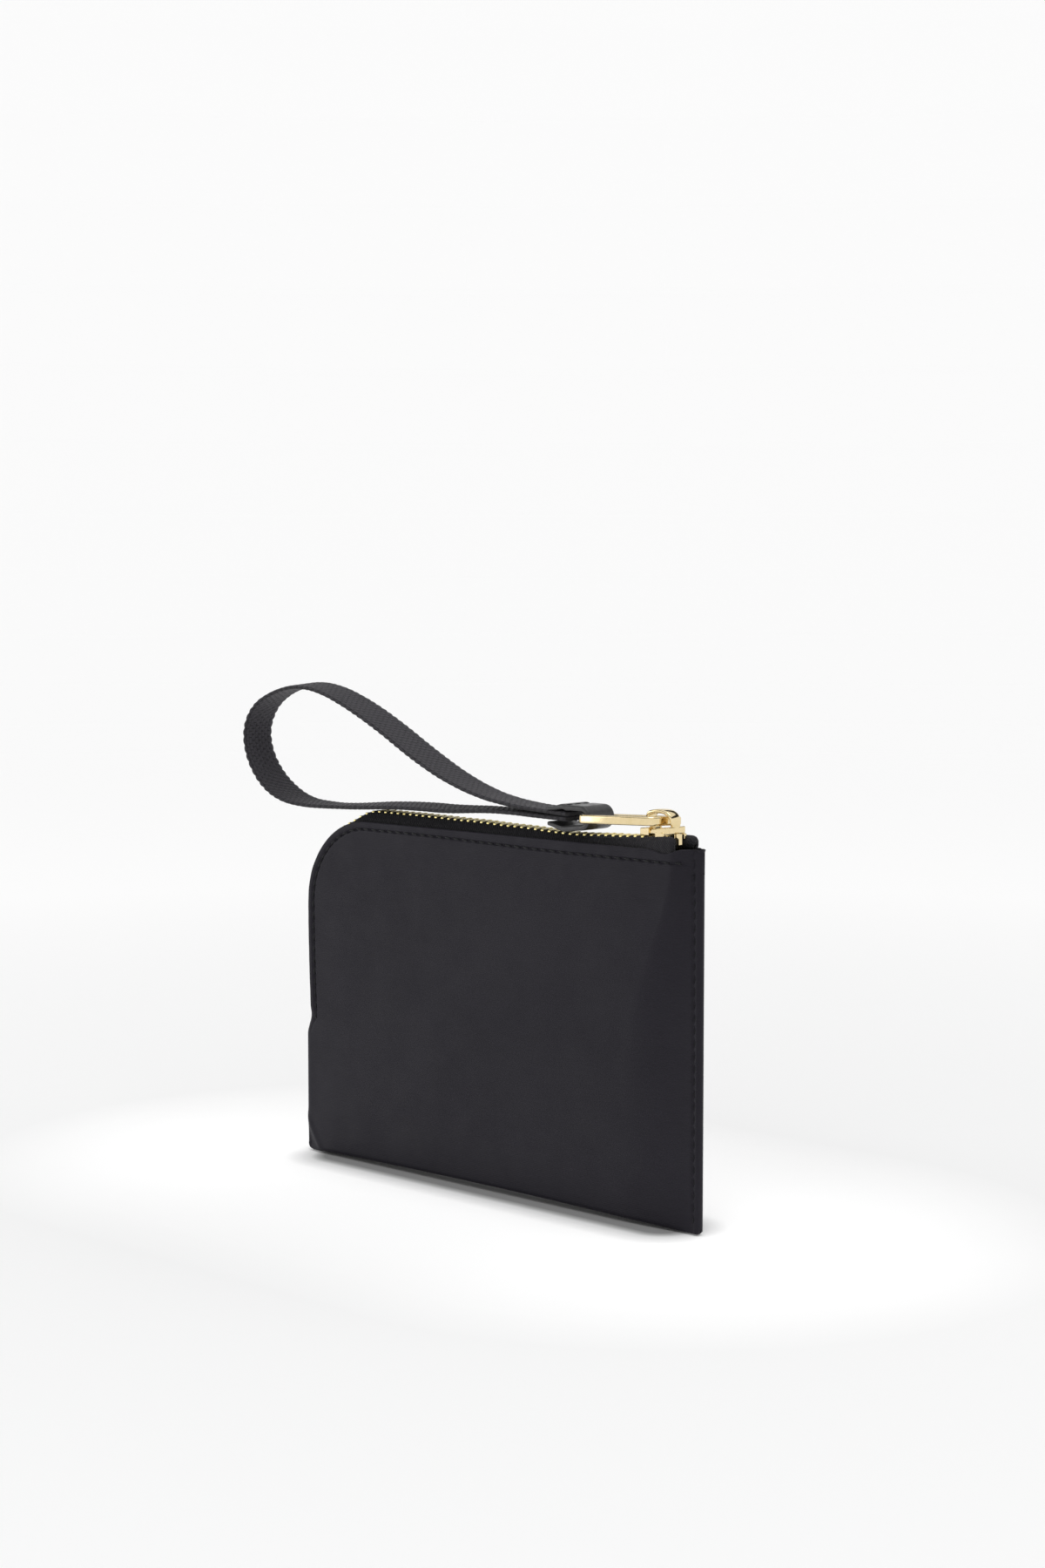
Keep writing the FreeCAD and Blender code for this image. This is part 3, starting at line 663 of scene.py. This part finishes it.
def inset_of(x, z):
    """Distance inside the zipped edge, and the place along it."""
    if x < CORNER_X and z > CORNER_Z:
        dx, dz = x - CORNER_X, z - CORNER_Z
        return CORNER - math.hypot(dx, dz), STRAIGHT + CORNER * math.atan2(-dx, dz)
    from_left = x - left_edge(z)
    if TOP - z < from_left:
        return TOP - z, RIGHT - x
    return from_left, EDGE_LONG - z


def hem_rows():
    """Steps through the hem: (inset, turn) outside, round the folded edge and inside."""
    outside = (4.0, 3.7, 3.4, 3.1, 2.85, 2.6, 2.35, 2.1, 1.85, 1.6, 1.3, 1.0, 0.7, 0.45, 0.2)
    rows = [(inset, 0.0) for inset in outside]
    rows += [(0.0, math.pi * step / 6) for step in range(7)]
    rows += [(inset, math.pi) for inset in (0.8, 2.0, 4.0, HEM_DEEP)]
    return rows


def shell_side(side):
    """Points and faces of one panel with its hem."""
    field, top_side, left_side = inner_field()
    points = [panel_point(x, z, side, *inset_of(x, z)) for x, z in field]
    faces = grid_faces(ROWS, COLUMNS, side > 0)
    width = COLUMNS + 1
    rim = [(row * width, left_side[row][2]) for row in range(ROWS + 1)]
    rim += [(ROWS * width + column, top_side[column][2]) for column in range(1, width)]
    last = [index for index, _ in rim]
    for inset, turn in hem_rows():
        ring = []
        for _, along in rim:
            (x, z), out = edge_frame(along)
            here_open = left_open(z) if x < CORNER_X else smooth((RIGHT - x) / 5)
            roll = HEM_ROLL * here_open
            depth_in = inset + roll * (1 - math.sin(turn))
            inward = roll * (1 - math.cos(turn))
            if turn == math.pi:
                inward = max(2 * roll, 0.45 * smooth(inset / 0.8))
            px = x - out[0] * depth_in
            pz = z - out[1] * depth_in
            bx, by, bz = panel_point(px, max(pz, 0.0), side, depth_in, along)
            ring.append(len(points))
            points.append((bx, side * max(abs(by) - inward, 0.0), bz))
        for a, b, c, d in zip(last, last[1:], ring[1:], ring):
            faces.append((a, b, c, d) if side < 0 else (d, c, b, a))
        last = ring
    return points, faces


def make_shell():
    """The nylon: two panels joined at the fold and at the side seams."""
    both = merge([shell_side(-1), shell_side(1)])
    shell = add_piece("nylon_shell", both, NYLON, "pouch", "outer_shell")
    add_modifier(shell, "WELD", merge_threshold=0.03 * MM)
    add_modifier(shell, "SOLIDIFY", thickness=CLOTH * MM, offset=-1.0)


make_shell()


def hem_stitches(name, side, node):
    """Stitches in the groove beside the zip."""
    parts = []
    along = STITCH_PITCH + 2
    while along < ZIP_LONG - 2:
        (x, z), out = edge_frame(along)
        inset = stitch_inset(along)
        spot = (x - out[0] * inset, z - out[1] * inset)
        parts.append(panel_stitch(spot, side, (inset, along), out, 2.1))
        along += STITCH_PITCH
    add_piece(name, merge(parts), THREAD, "pouch", node)


def panel_stitch(spot, side, hem_place, out, length):
    """A stitch on a panel, at a right angle to the direction out but a little aslant."""
    x, z = spot
    depth = abs(panel_point(x, z, side, *hem_place)[1]) - 0.12
    slant = Vector((-out[1], 0, out[0])) + Vector((out[0], 0, out[1])) * random.uniform(0.06, 0.16)
    return stitch(Vector((x, side * depth, z + lift(x, z))), slant.normalized(),
                  Vector((0, side, 0)), length, 0.16, 0.3)


def stitch(centre, direction, up, length, rise, radius):
    """A stitch: thick in the middle, its ends diving down."""
    width_way = direction.cross(up).normalized()
    rings = []
    for step in range(9):
        share = step / 8
        dome = math.sin(math.pi * min(max(share, 0.02), 0.98)) ** 0.5
        middle = centre + direction * (length * (share - 0.5)) + up * (rise * dome)
        thick = radius * (0.45 + 0.55 * dome)
        ring = []
        for corner in range(8):
            angle = 2 * math.pi * corner / 8
            ring.append(tuple(middle + (width_way * math.cos(angle) + up * math.sin(angle)) * thick))
        rings.append(ring)
    return skin(rings)


hem_stitches("front_thread", -1, "front_topstitching")
hem_stitches("back_thread", 1, "back_topstitching")


def side_stitches():
    """Stitches down the right side, on both panels."""
    parts = []
    for side in (-1, 1):
        below = STITCH_INSET + STITCH_PITCH / 2
        while below < TOP - 3:
            spot = (RIGHT - STITCH_INSET, TOP - below)
            parts.append(panel_stitch(spot, side, (below, STITCH_INSET), (1, 0), 2.2))
            below += STITCH_PITCH
    add_piece("side_thread", merge(parts), THREAD, "pouch", "side_stitching")


side_stitches()


# ---------------------------------------------------------------- lining and side seams

LINING_CLOTH = 0.12


def make_lining():
    """A thin bag just inside the nylon."""
    rows, columns = 40, 70
    parts = []
    for side in (-1, 1):
        points = []
        for row in range(rows + 1):
            for column in range(columns + 1):
                x = mix(ZIP_LEFT + 2.2, RIGHT - 2.2, column / columns)
                roof = TOP - 5
                if x < CORNER_X:
                    reach = CORNER - 5
                    roof = CORNER_Z + math.sqrt(max(reach ** 2 - min(CORNER_X - x, reach) ** 2, 0))
                z = mix(1.0, roof, row / rows)
                x = mix(left_edge(z) + 2.2, RIGHT - 2.2, column / columns)
                depth = max(half_depth(x, z) - 1.35, 0.08)
                points.append((x, side * depth, z + lift(x, z)))
        parts.append((points, grid_faces(rows, columns, side > 0)))
    lining = add_piece("lining_bag", merge(parts), LINING, "pouch", "lining")
    add_modifier(lining, "SOLIDIFY", thickness=LINING_CLOTH * MM, offset=-1.0)


def make_seam(name, node, x_edge, inward, z_low, z_high):
    """The turned edges inside a side seam: a narrow folded strip of nylon."""
    rings = []
    steps = 60
    for step in range(steps + 1):
        z = mix(z_low, z_high, step / steps)
        x_out = x_edge + inward * 0.9
        x_in = x_edge + inward * 5.0
        half_out = max(half_depth(x_out, z) - 0.45, 0.05)
        half_in = max(min(half_depth(x_in, z) - 0.5, 0.5), 0.05)
        height = z + lift(x_out, z)
        ring = [(x_out, -half_out, height), (x_in, -half_in, height),
                (x_in, half_in, height), (x_out, half_out, height)]
        rings.append(ring if inward < 0 else ring[::-1])
    add_piece(name, skin(rings), NYLON, "pouch", node, False)


make_lining()
make_seam("right_seam_edges", "right_side_seam", RIGHT, -1, 2.0, 96.0)
make_seam("left_seam_edges", "left_side_seam", LEFT, 1, 2.0, 36.0)


# ---------------------------------------------------------------- the zip tapes

# Height of the teeth's middle above the cloth's edge, by X along the top.
CHAIN_KNOTS = (
    (-200, 2.2), (-32, 2.15), (-6, 1.85), (9, 1.5), (31, 0.9), (47, 1.5), (54, 1.9), (200, 1.9),
)
# By side: how far short of the zip's end each tape stops, and how near the middle its end comes.
TAPE_CUT = {-1: 1.7, 1: 0.1}
TAPE_LIP = {-1: 2.3, 1: 1.2}


def chain_rise(along):
    """The middle of the teeth above the cloth's edge: proud along the top, dipping under the
    leather tab, sunk between the panels round the corner."""
    rise = between(CHAIN_KNOTS, RIGHT - along)
    return mix(rise, -0.35, smooth((along - STRAIGHT + 3) / 12))


def tape_section(along, side):
    """The tape across the zip: a bead by the teeth, then down inside the panel. At the open
    end it swells into a thick folded end."""
    (x, z), out = edge_frame(along)
    on_top = along < STRAIGHT
    swell = smooth((x - 55) / 9) if on_top else 0.0
    closing = 1.0 if on_top else smooth((z - ZIP_FOOT) / 5)
    wall = half_depth(x - out[0] * 0.5, z - out[1] * 0.5) - 0.55
    outer = max(min(4.3, wall), 0.5)
    drop = (1 - closing) * 4.5
    rise = chain_rise(along) - drop
    plain = [
        (1.2, rise + 0.98), (2.0, rise + 0.97), (2.5, rise + 0.82), (2.85, rise + 0.52),
        (3.3, rise + 0.05), (mix(3.3, outer, 0.55), mix(rise, -0.9 - drop * 0.4, 0.45)),
        (outer, -0.9 - drop * 0.4), (outer, -4.0), (outer, -9.0),
    ]
    lip = TAPE_LIP[side]
    swollen = [
        (lip, 2.5), (mix(lip, 3.4, 0.4), 3.2), (3.4, 3.5), (4.0, 3.2), (4.5, 2.4), (4.7, 1.2),
        (4.6, -1.0), (4.2, -4.0), (4.0, -9.0),
    ]
    upper = [(mix(a[0], b[0], swell), mix(a[1], b[1], swell)) for a, b in zip(plain, swollen)]
    upper = [(min(max(y, 0.45), outer + 0.3 + 0.5 * swell * smooth((o + 1.2) / 1.2)), o)
             for y, o in upper]
    back = 0.5 + 0.9 * swell
    lower = [(max(y - back, 0.3), o) for y, o in upper[5:]][::-1]
    lower += [(max(upper[4][0] - back * 0.7, 0.35), upper[4][1] - back * 0.8),
              (max(upper[2][0] - back * 0.3, 0.35), upper[2][1] - back - 0.45),
              (max(upper[1][0] - 0.1, 0.35), upper[1][1] - back - 0.5),
              (max(upper[0][0] - 0.05, 0.35), upper[0][1] - back - 0.4 - 0.8 * swell)]
    section = upper + lower
    from_end = TAPE_END - TAPE_CUT[side] - x
    if on_top and from_end < 1.4:
        shrink = math.sqrt(max(1 - (1 - max(from_end, 0.02) / 1.4) ** 2, 0.02))
        section = [(3.5 + (y - 3.5) * mix(0.55, 1, shrink), 0.6 + (o - 0.6) * mix(0.6, 1, shrink))
                   for y, o in section]
    ring = []
    for across, outside in section:
        fuzz = 0.05 * noise.noise(Vector((along * 1.3, across * 1.7, outside * 1.5 + side)))
        fuzz += 0.08 * swell * math.sin(2 * math.pi * (outside + 0.5 * along) / 1.15)
        ring.append((x + out[0] * outside, side * (across + fuzz), z + out[1] * outside))
    return ring


def make_tape(name, side, node):
    """One half of the zip's tape, from its open end round the corner to the zip's foot."""
    start = RIGHT - TAPE_END + TAPE_CUT[side] + 0.02
    steps = 700
    rings = [tape_section(mix(start, ZIP_LONG, step / steps), side) for step in range(steps + 1)]
    if side > 0:
        rings = [ring[::-1] for ring in rings]
    add_piece(name, skin(rings), TAPE, "pouch", node)


make_tape("front_tape", -1, "front_zip_tape")
make_tape("back_tape", 1, "back_zip_tape")


# ---------------------------------------------------------------- metal parts

TOOTH_PITCH = 2.54
TOOTH_LAYERS = ((-1.1, 0.16), (-1.0, 0.04), (-0.9, 0.0), (0.9, 0.0), (1.0, 0.04), (1.1, 0.16))


def make_teeth(name, side, node, first_x):
    """Zip teeth: legs that clamp the tape's bead and a rounded hook over the middle."""
    half = 0.48
    outline = [(-half, 2.62), (-half, 1.2), (-half - 0.08, 0.5), (-half - 0.02, -0.2),
               (-0.3, -0.58), (0, -0.66), (0.3, -0.58), (half + 0.02, -0.2), (half + 0.08, 0.5),
               (half, 1.2), (half, 2.62), (0.3, 2.72), (-0.3, 2.72)]
    parts = []
    along = RIGHT - first_x
    while along < ZIP_LONG - 3.2:
        (x, z), out = edge_frame(along)
        rise = chain_rise(along)
        rings = []
        for up, shrink in TOOTH_LAYERS:
            ring = []
            for run, across in outline:
                run *= 1 - shrink / 0.6
                across = across - shrink * (1 if across > 1 else -1)
                outside = rise + up
                ring.append((x + out[1] * run + out[0] * outside, side * across,
                             z - out[0] * run + out[1] * outside))
            rings.append(ring if side < 0 else ring[::-1])
        parts.append(skin(rings))
        along += TOOTH_PITCH
    add_piece(name, merge(parts), BRASS, "pouch", node, False)


FIRST_TOOTH = cad_range("front_teeth")[1][0] - 0.55
make_teeth("front_chain", -1, "front_teeth", FIRST_TOOTH)
make_teeth("back_chain", 1, "back_teeth", FIRST_TOOTH - TOOTH_PITCH / 2)


def prism(x_range, half_left, half_right, low, high_left, high_right):
    """A block whose top slopes and whose sides spread from left to right."""
    ends = []
    for x, half, high in zip(x_range, (half_left, half_right), (high_left, high_right)):
        ends.append([(x, -half, high), (x, half, high), (x, half, low), (x, -half, low)])
    return skin(ends)


def shift_across(part, across):
    points, faces = part
    return [(x, y + across, z) for x, y, z in points], faces


def gold_blocks(name, node, body, parts, width):
    """Metal blocks as one piece with softened edges."""
    piece = add_piece(name, merge(parts), GOLD, body, node, False)
    add_modifier(piece, "BEVEL", width=width * MM, segments=3, limit_method="ANGLE",
                 harden_normals=True)


def make_slider():
    """The slider: a nose block, a waist, a plate that rises to the right, flanges and neck."""
    low, high = cad_range("slider_body")
    x0, x1, z0, z1 = low[0], high[0], low[2], high[2]
    flange = prism((x0 + 6.4, x1 - 3.0), 0.3, 0.3, z1 - 1.6, z1 + 0.2, z1 + 0.2)
    under = prism((x0 + 6.4, x1 - 3.0), 0.3, 0.3, z0 + 0.3, z0 + 1.7, z0 + 1.7)
    parts = [
        prism((x0, x0 + 3.5), 2.1, 2.8, z1 - 1.1, z1 + 0.75, z1 + 1.15),
        prism((x0 + 3.3, x0 + 4.9), 2.3, 2.8, z1 - 0.6, z1 + 0.45, z1 + 0.55),
        prism((x0 + 4.5, x0 + 7.0), 2.9, 3.6, z1 - 0.45, z1 + 0.75, z1 + 1.0),
        prism((x0 + 6.8, x1 - 1.5), 3.7, 3.3, z1 - 0.35, z1 + 1.15, z1 + 1.55),
        prism((x0, x1 - 1.5), 3.0, 3.5, z0, z0 + 0.9, z0 + 0.9),
        prism((x1 - 5.4, x1 - 1.8), 0.4, 0.8, z0 + 0.4, z1, z1),
        shift_across(flange, -3.35), shift_across(flange, 3.35),
        shift_across(under, -3.35), shift_across(under, 3.35),
    ]
    gold_blocks("slider_shell", "slider_body", "slider", parts, 0.28)


def make_bottom_stop():
    """The square clamp at the foot of the zip, sunk between the panels."""
    low, high = cad_range("bottom_stop")
    x_mid = ZIP_LEFT + 0.35
    block = prism((x_mid - 1.0, x_mid + 1.0), 1.9, 1.9, low[2], high[2], high[2])
    gold_blocks("foot_clamp", "bottom_stop", "pouch", [block], 0.25)


def make_top_stops():
    """The clamps that end the two rows of teeth: a tall one in front, a low one behind it."""
    low, high = cad_range("front_top_stop")
    front = prism((low[0] - 0.1, low[0] + 1.1), 0.6, 0.6, low[2] + 0.6, high[2] + 1.4, high[2] + 1.4)
    gold_blocks("front_clamp", "front_top_stop", "pouch", [shift_across(front, -2.2)], 0.2)
    low, high = cad_range("back_top_stop")
    back = prism((low[0] - 1.4, low[0] - 0.3), 0.5, 0.5, low[2] + 1.9, high[2] + 1.2, high[2] + 1.2)
    gold_blocks("back_clamp", "back_top_stop", "pouch", [shift_across(back, 1.3)], 0.2)


make_slider()
make_bottom_stop()
make_top_stops()


def rounded_section(half, thick, radius):
    """A flat section with round edges: (across, layer) all the way round."""
    section = []
    spread = 14
    for step in range(spread + 1):
        section.append((mix(-half + radius, half - radius, step / spread), thick))
    for step in range(1, 6):
        angle = math.pi * step / 6
        section.append((half - radius + radius * math.sin(angle), thick * math.cos(angle)))
    for step in range(spread + 1):
        section.append((mix(half - radius, -half + radius, step / spread), -thick))
    for step in range(1, 6):
        angle = math.pi * step / 6
        section.append((-half + radius - radius * math.sin(angle), -thick * math.cos(angle)))
    return section


def make_crown():
    """The slider's crown: a domed strip that overhangs at the left and drops to the neck."""
    low, high = cad_range("slider_crown")
    x0, x1, z0, z1 = low[0], high[0], low[2], high[2]
    knots = [
        (x0 + 3.1, z0 - 0.2), (x0 + 2.5, z0 + 0.8), (x0 + 1.3, z0 + 1.9), (x0 + 0.6, z0 + 3.3),
        (x0 + 1.2, z1 - 1.15), (x0 + 2.9, z1 - 0.62), (x0 + 4.9, z1 - 0.5), (x0 + 6.8, z1 - 0.8),
        (x1 - 1.15, z1 - 1.7), (x1 - 0.6, z1 - 3.1), (x1 - 0.5, z0 + 1.2), (x1 - 0.5, z0 - 0.2),
    ]
    widths = [1.2, 1.3, 1.5, 1.7, 1.85, 1.9, 1.9, 1.9, 1.85, 1.7, 1.45, 1.4]
    rings = []
    steps = 8
    for number in range(len(knots) - 1):
        for step in range(steps + (number == len(knots) - 2)):
            share = step / steps
            picks = [knots[min(max(number + shift, 0), len(knots) - 1)] for shift in (-1, 0, 1, 2)]
            spot, way = [], []
            for axis in (0, 1):
                a, b, c, d = (pick[axis] for pick in picks)
                spot.append(0.5 * (2 * b + (c - a) * share + (2 * a - 5 * b + 4 * c - d) * share ** 2
                                   + (3 * b - a - 3 * c + d) * share ** 3))
                way.append(0.5 * ((c - a) + 2 * (2 * a - 5 * b + 4 * c - d) * share
                                  + 3 * (3 * b - a - 3 * c + d) * share ** 2))
            length = math.hypot(*way)
            normal = (-way[1] / length, way[0] / length)
            half = mix(widths[number], widths[number + 1], share)
            ring = []
            for across, layer in rounded_section(half, 0.48, 0.3):
                layer += 0.12 * (1 - (across / half) ** 2) if layer > 0 else 0
                ring.append((spot[0] + normal[0] * layer, across, spot[1] + normal[1] * layer))
            rings.append(ring)
    add_piece("crown_arch", skin(rings), GOLD, "slider", "slider_crown")


make_crown()


RING_ROLL = math.radians(3)
RING_SAG = 0.4


def make_ring():
    """The rectangular ring: a flat bar bent round four corners, hanging slightly askew."""
    low, high = cad_range("pull_ring")
    deep, tall, corner = 1.4, 2.4, 2.4
    half = high[1] - deep / 2
    near_x, far_x = high[0] - deep / 2, low[0] + deep / 2
    near_z, far_z = high[2] - tall / 2, low[2] + tall / 2
    length = math.hypot(near_x - far_x, near_z - far_z)
    run = Vector(((far_x - near_x) / length, 0, (far_z - near_z) / length))
    across = Vector((0, math.cos(RING_ROLL), -math.sin(RING_ROLL)))
    start = Vector((near_x, 0, near_z - RING_SAG))
    upward = run.cross(across).normalized()
    upward = upward if upward.z > 0 else -upward
    near, far, wide = corner, length - corner, half - corner
    rings = []
    for number, (along, side) in enumerate(((near, wide), (far, wide), (far, -wide), (near, -wide))):
        for step in range(9):
            angle = math.pi - math.pi / 2 * (number + step / 8)
            outward = run * math.cos(angle) + across * math.sin(angle)
            centre = start + run * along + across * side + outward * corner
            ring = []
            for height, layer in rounded_section(tall / 2, deep / 2, 0.5):
                ring.append(tuple(centre + outward * layer + upward * height))
            rings.append(ring)
    rings.append(rings[0])
    bar = add_piece("ring_bar", skin(rings, caps=False), GOLD, "pull", "pull_ring")
    add_modifier(bar, "WELD", merge_threshold=0.001 * MM)


make_ring()


# ---------------------------------------------------------------- the leather tab

TAB_LOW, TAB_HIGH = cad_range("leather_tab")
TAB_THICK = 1.5
TAB_SLOPE = 0.55


def tab_thin(x):
    """1 at the leather's cut ends, 0 where it has its full thickness."""
    return 1 - smooth((x - TAB_LOW[0]) / 7)


def make_tab():
    """A strip of leather folded round the ring, thinner and pinched towards its ends."""
    middle_z = (TAB_LOW[2] + TAB_HIGH[2]) / 2
    rise = (TAB_HIGH[2] - TAB_LOW[2]) / 2 - TAB_THICK / 2 - 0.05
    bend_x = TAB_HIGH[0] - rise - TAB_THICK / 2 - 0.05
    path = []
    steps = 30
    for step in range(steps + 1):
        x = mix(TAB_LOW[0] + 0.1, bend_x, step / steps)
        thin = tab_thin(x)
        bow = 0.8 * math.exp(-(((x - TAB_LOW[0] - 5.8) / 4.2) ** 2))
        path.append((x, middle_z - rise + TAB_SLOPE * thin - bow, 0.0, 1 - 0.3 * thin))
    for step in range(1, 24):
        angle = math.pi * step / 24
        path.append((bend_x + rise * math.sin(angle), middle_z - rise * math.cos(angle), angle, 1.0))
    for step in range(steps + 1):
        x = mix(TAB_LOW[0] + 0.1, bend_x, 1 - step / steps)
        from_end = x - TAB_LOW[0]
        thin = tab_thin(x)
        dent = 0.22 * math.exp(-(((from_end - 7.0) / 0.7) ** 2))
        dent -= 0.25 * math.exp(-(((from_end - 5.2) / 1.6) ** 2))
        path.append((x, middle_z + rise - TAB_SLOPE * thin - dent, math.pi, 1 - 0.3 * thin))
    half = (TAB_HIGH[1] - TAB_LOW[1]) / 2
    rings = []
    for x, z, angle, scale in path:
        out = Vector((math.sin(angle), 0, -math.cos(angle)))
        ring = []
        for across, layer in rounded_section(half, TAB_THICK / 2 * scale, 0.45):
            ring.append((x + out.x * layer, across, z + out.z * layer))
        rings.append(ring)
    tab = add_piece("leather_loop", skin(rings), LEATHER, "strap", "leather_tab")
    add_modifier(tab, "SUBSURF", levels=1, render_levels=1)


def tab_top(x):
    """Height of the leather's upper face."""
    return TAB_HIGH[2] - 0.05 - (TAB_SLOPE + 0.22) * tab_thin(x)


def make_tab_thread():
    """Two rows of stitches sunk across the top of the leather."""
    low, high = cad_range("tab_stitching")
    parts = []
    for x in (low[0] + 0.15, high[0] - 0.15):
        for number in (-1, 0, 1):
            centre = Vector((x, number * STITCH_PITCH, tab_top(x) - 0.14))
            parts.append(stitch(centre, Vector((0, 1, 0)), Vector((0, 0, 1)), 2.2, 0.08, 0.17))
    add_piece("tab_thread", merge(parts), THREAD, "strap", "tab_stitching")


make_tab()
make_tab_thread()


# ---------------------------------------------------------------- the wrist strap

# The strap's middle line, X and Z in metres, from the lower layer round the loop to the upper.
STRAP_ROUTE = [
    (0.031, 0.10525), (0.0205, 0.1054), (0.0095, 0.10575), (-0.0025, 0.1055),
    (-0.0154, 0.1047), (-0.0285, 0.1048), (-0.042, 0.1042), (-0.0555, 0.1031),
    (-0.069, 0.1025), (-0.0815, 0.1033), (-0.0913, 0.1079), (-0.0978, 0.1154),
    (-0.0995, 0.1238), (-0.095, 0.1312), (-0.0864, 0.1355), (-0.0769, 0.1376),
    (-0.0665, 0.1367), (-0.0541, 0.1325), (-0.041, 0.1265), (-0.028, 0.1195),
    (-0.0149, 0.1135), (-0.0021, 0.1095), (0.009, 0.1078), (0.02, 0.107),
    (0.031, 0.10655),
]
STRAP_HALF = 5.15
STRAP_THICK = 1.2
SCALLOP = 0.36
# How far the yarns stand out on the loop's outer face (1) and on its inner face (-1).
YARN_RELIEF = {1: 0.14, -1: 0.2}
# Degrees of twist at places along the strap.
TWIST_KNOTS = (
    (0, 0), (25, 0), (45, -4), (75, -4), (95, 0), (105, -2), (122, -10), (142, -3), (165, 4),
    (198, 8.5), (218, 8.5), (262, 0),
)


def spline_points(route, resolution):
    """Points read from a smooth spline through the route, in metres."""
    curve = bpy.data.curves.new("strap_line", "CURVE")
    curve.dimensions = "3D"
    spline = curve.splines.new("NURBS")
    spline.points.add(len(route) - 1)
    for point, (x, z) in zip(spline.points, route):
        point.co = (x, 0, z, 1)
    spline.order_u = 3
    spline.use_endpoint_u = True
    spline.resolution_u = resolution
    holder = bpy.data.objects.new("strap_line", curve)
    bpy.context.scene.collection.objects.link(holder)
    graph = bpy.context.evaluated_depsgraph_get()
    mesh = bpy.data.meshes.new_from_object(holder.evaluated_get(graph))
    points = [vertex.co.copy() for vertex in mesh.vertices]
    bpy.data.objects.remove(holder)
    bpy.data.meshes.remove(mesh)
    return points


def make_strap():
    """A woven ribbon: scalloped edges, raised yarns and a thin selvedge."""
    line = spline_points(STRAP_ROUTE, 40)
    travelled = [0.0]
    for before, after in zip(line, line[1:]):
        travelled.append(travelled[-1] + (after - before).length / MM)
    across_steps = 44
    rings = []
    marks = []
    for index, spot in enumerate(line):
        before = line[max(index - 1, 0)]
        after = line[min(index + 1, len(line) - 1)]
        tangent = (after - before).normalized()
        normal = Vector((-tangent.z, 0, tangent.x))
        run = travelled[index]
        scallop = SCALLOP * abs(math.sin(math.pi * run / 2.4 + 0.4 * math.sin(run / 9)))
        half = STRAP_HALF - SCALLOP + scallop
        twist = math.radians(between(TWIST_KNOTS, run))
        wide = Vector((0, math.cos(twist), 0)) + normal * math.sin(twist)
        thin = normal * math.cos(twist) - Vector((0, math.sin(twist), 0))
        ring = []
        for face_side in (1, -1):
            for step in range(across_steps + 1):
                share = step / across_steps
                across = mix(-half, half, share) * face_side
                edge = 1 - smooth((half - abs(across)) / 0.55)
                layer = STRAP_THICK / 2 * (1 - 0.55 * edge)
                row = math.floor(across / FLOAT_WIDE)
                shift = 0.5 * (row % 2)
                float_run = abs(math.sin(math.pi * (run / FLOAT_LONG + shift)))
                float_across = abs(math.sin(math.pi * across / FLOAT_WIDE))
                yarn = (float_run * float_across) ** 0.5
                layer += YARN_RELIEF[face_side] * (yarn - 0.8) * (1 - 0.6 * edge)
                ring.append(tuple(spot / MM + wide * across + thin * (layer * face_side)))
                marks.append((run, across + (20 * FLOAT_WIDE if face_side < 0 else 0)))
        rings.append(ring)
    strap = add_piece("webbing_loop", skin(rings), WEBBING, "strap", "wrist_strap")
    layer = strap.data.uv_layers.new(name="length_and_width")
    for loop in strap.data.loops:
        layer.data[loop.index].uv = marks[loop.vertex_index]


make_strap()
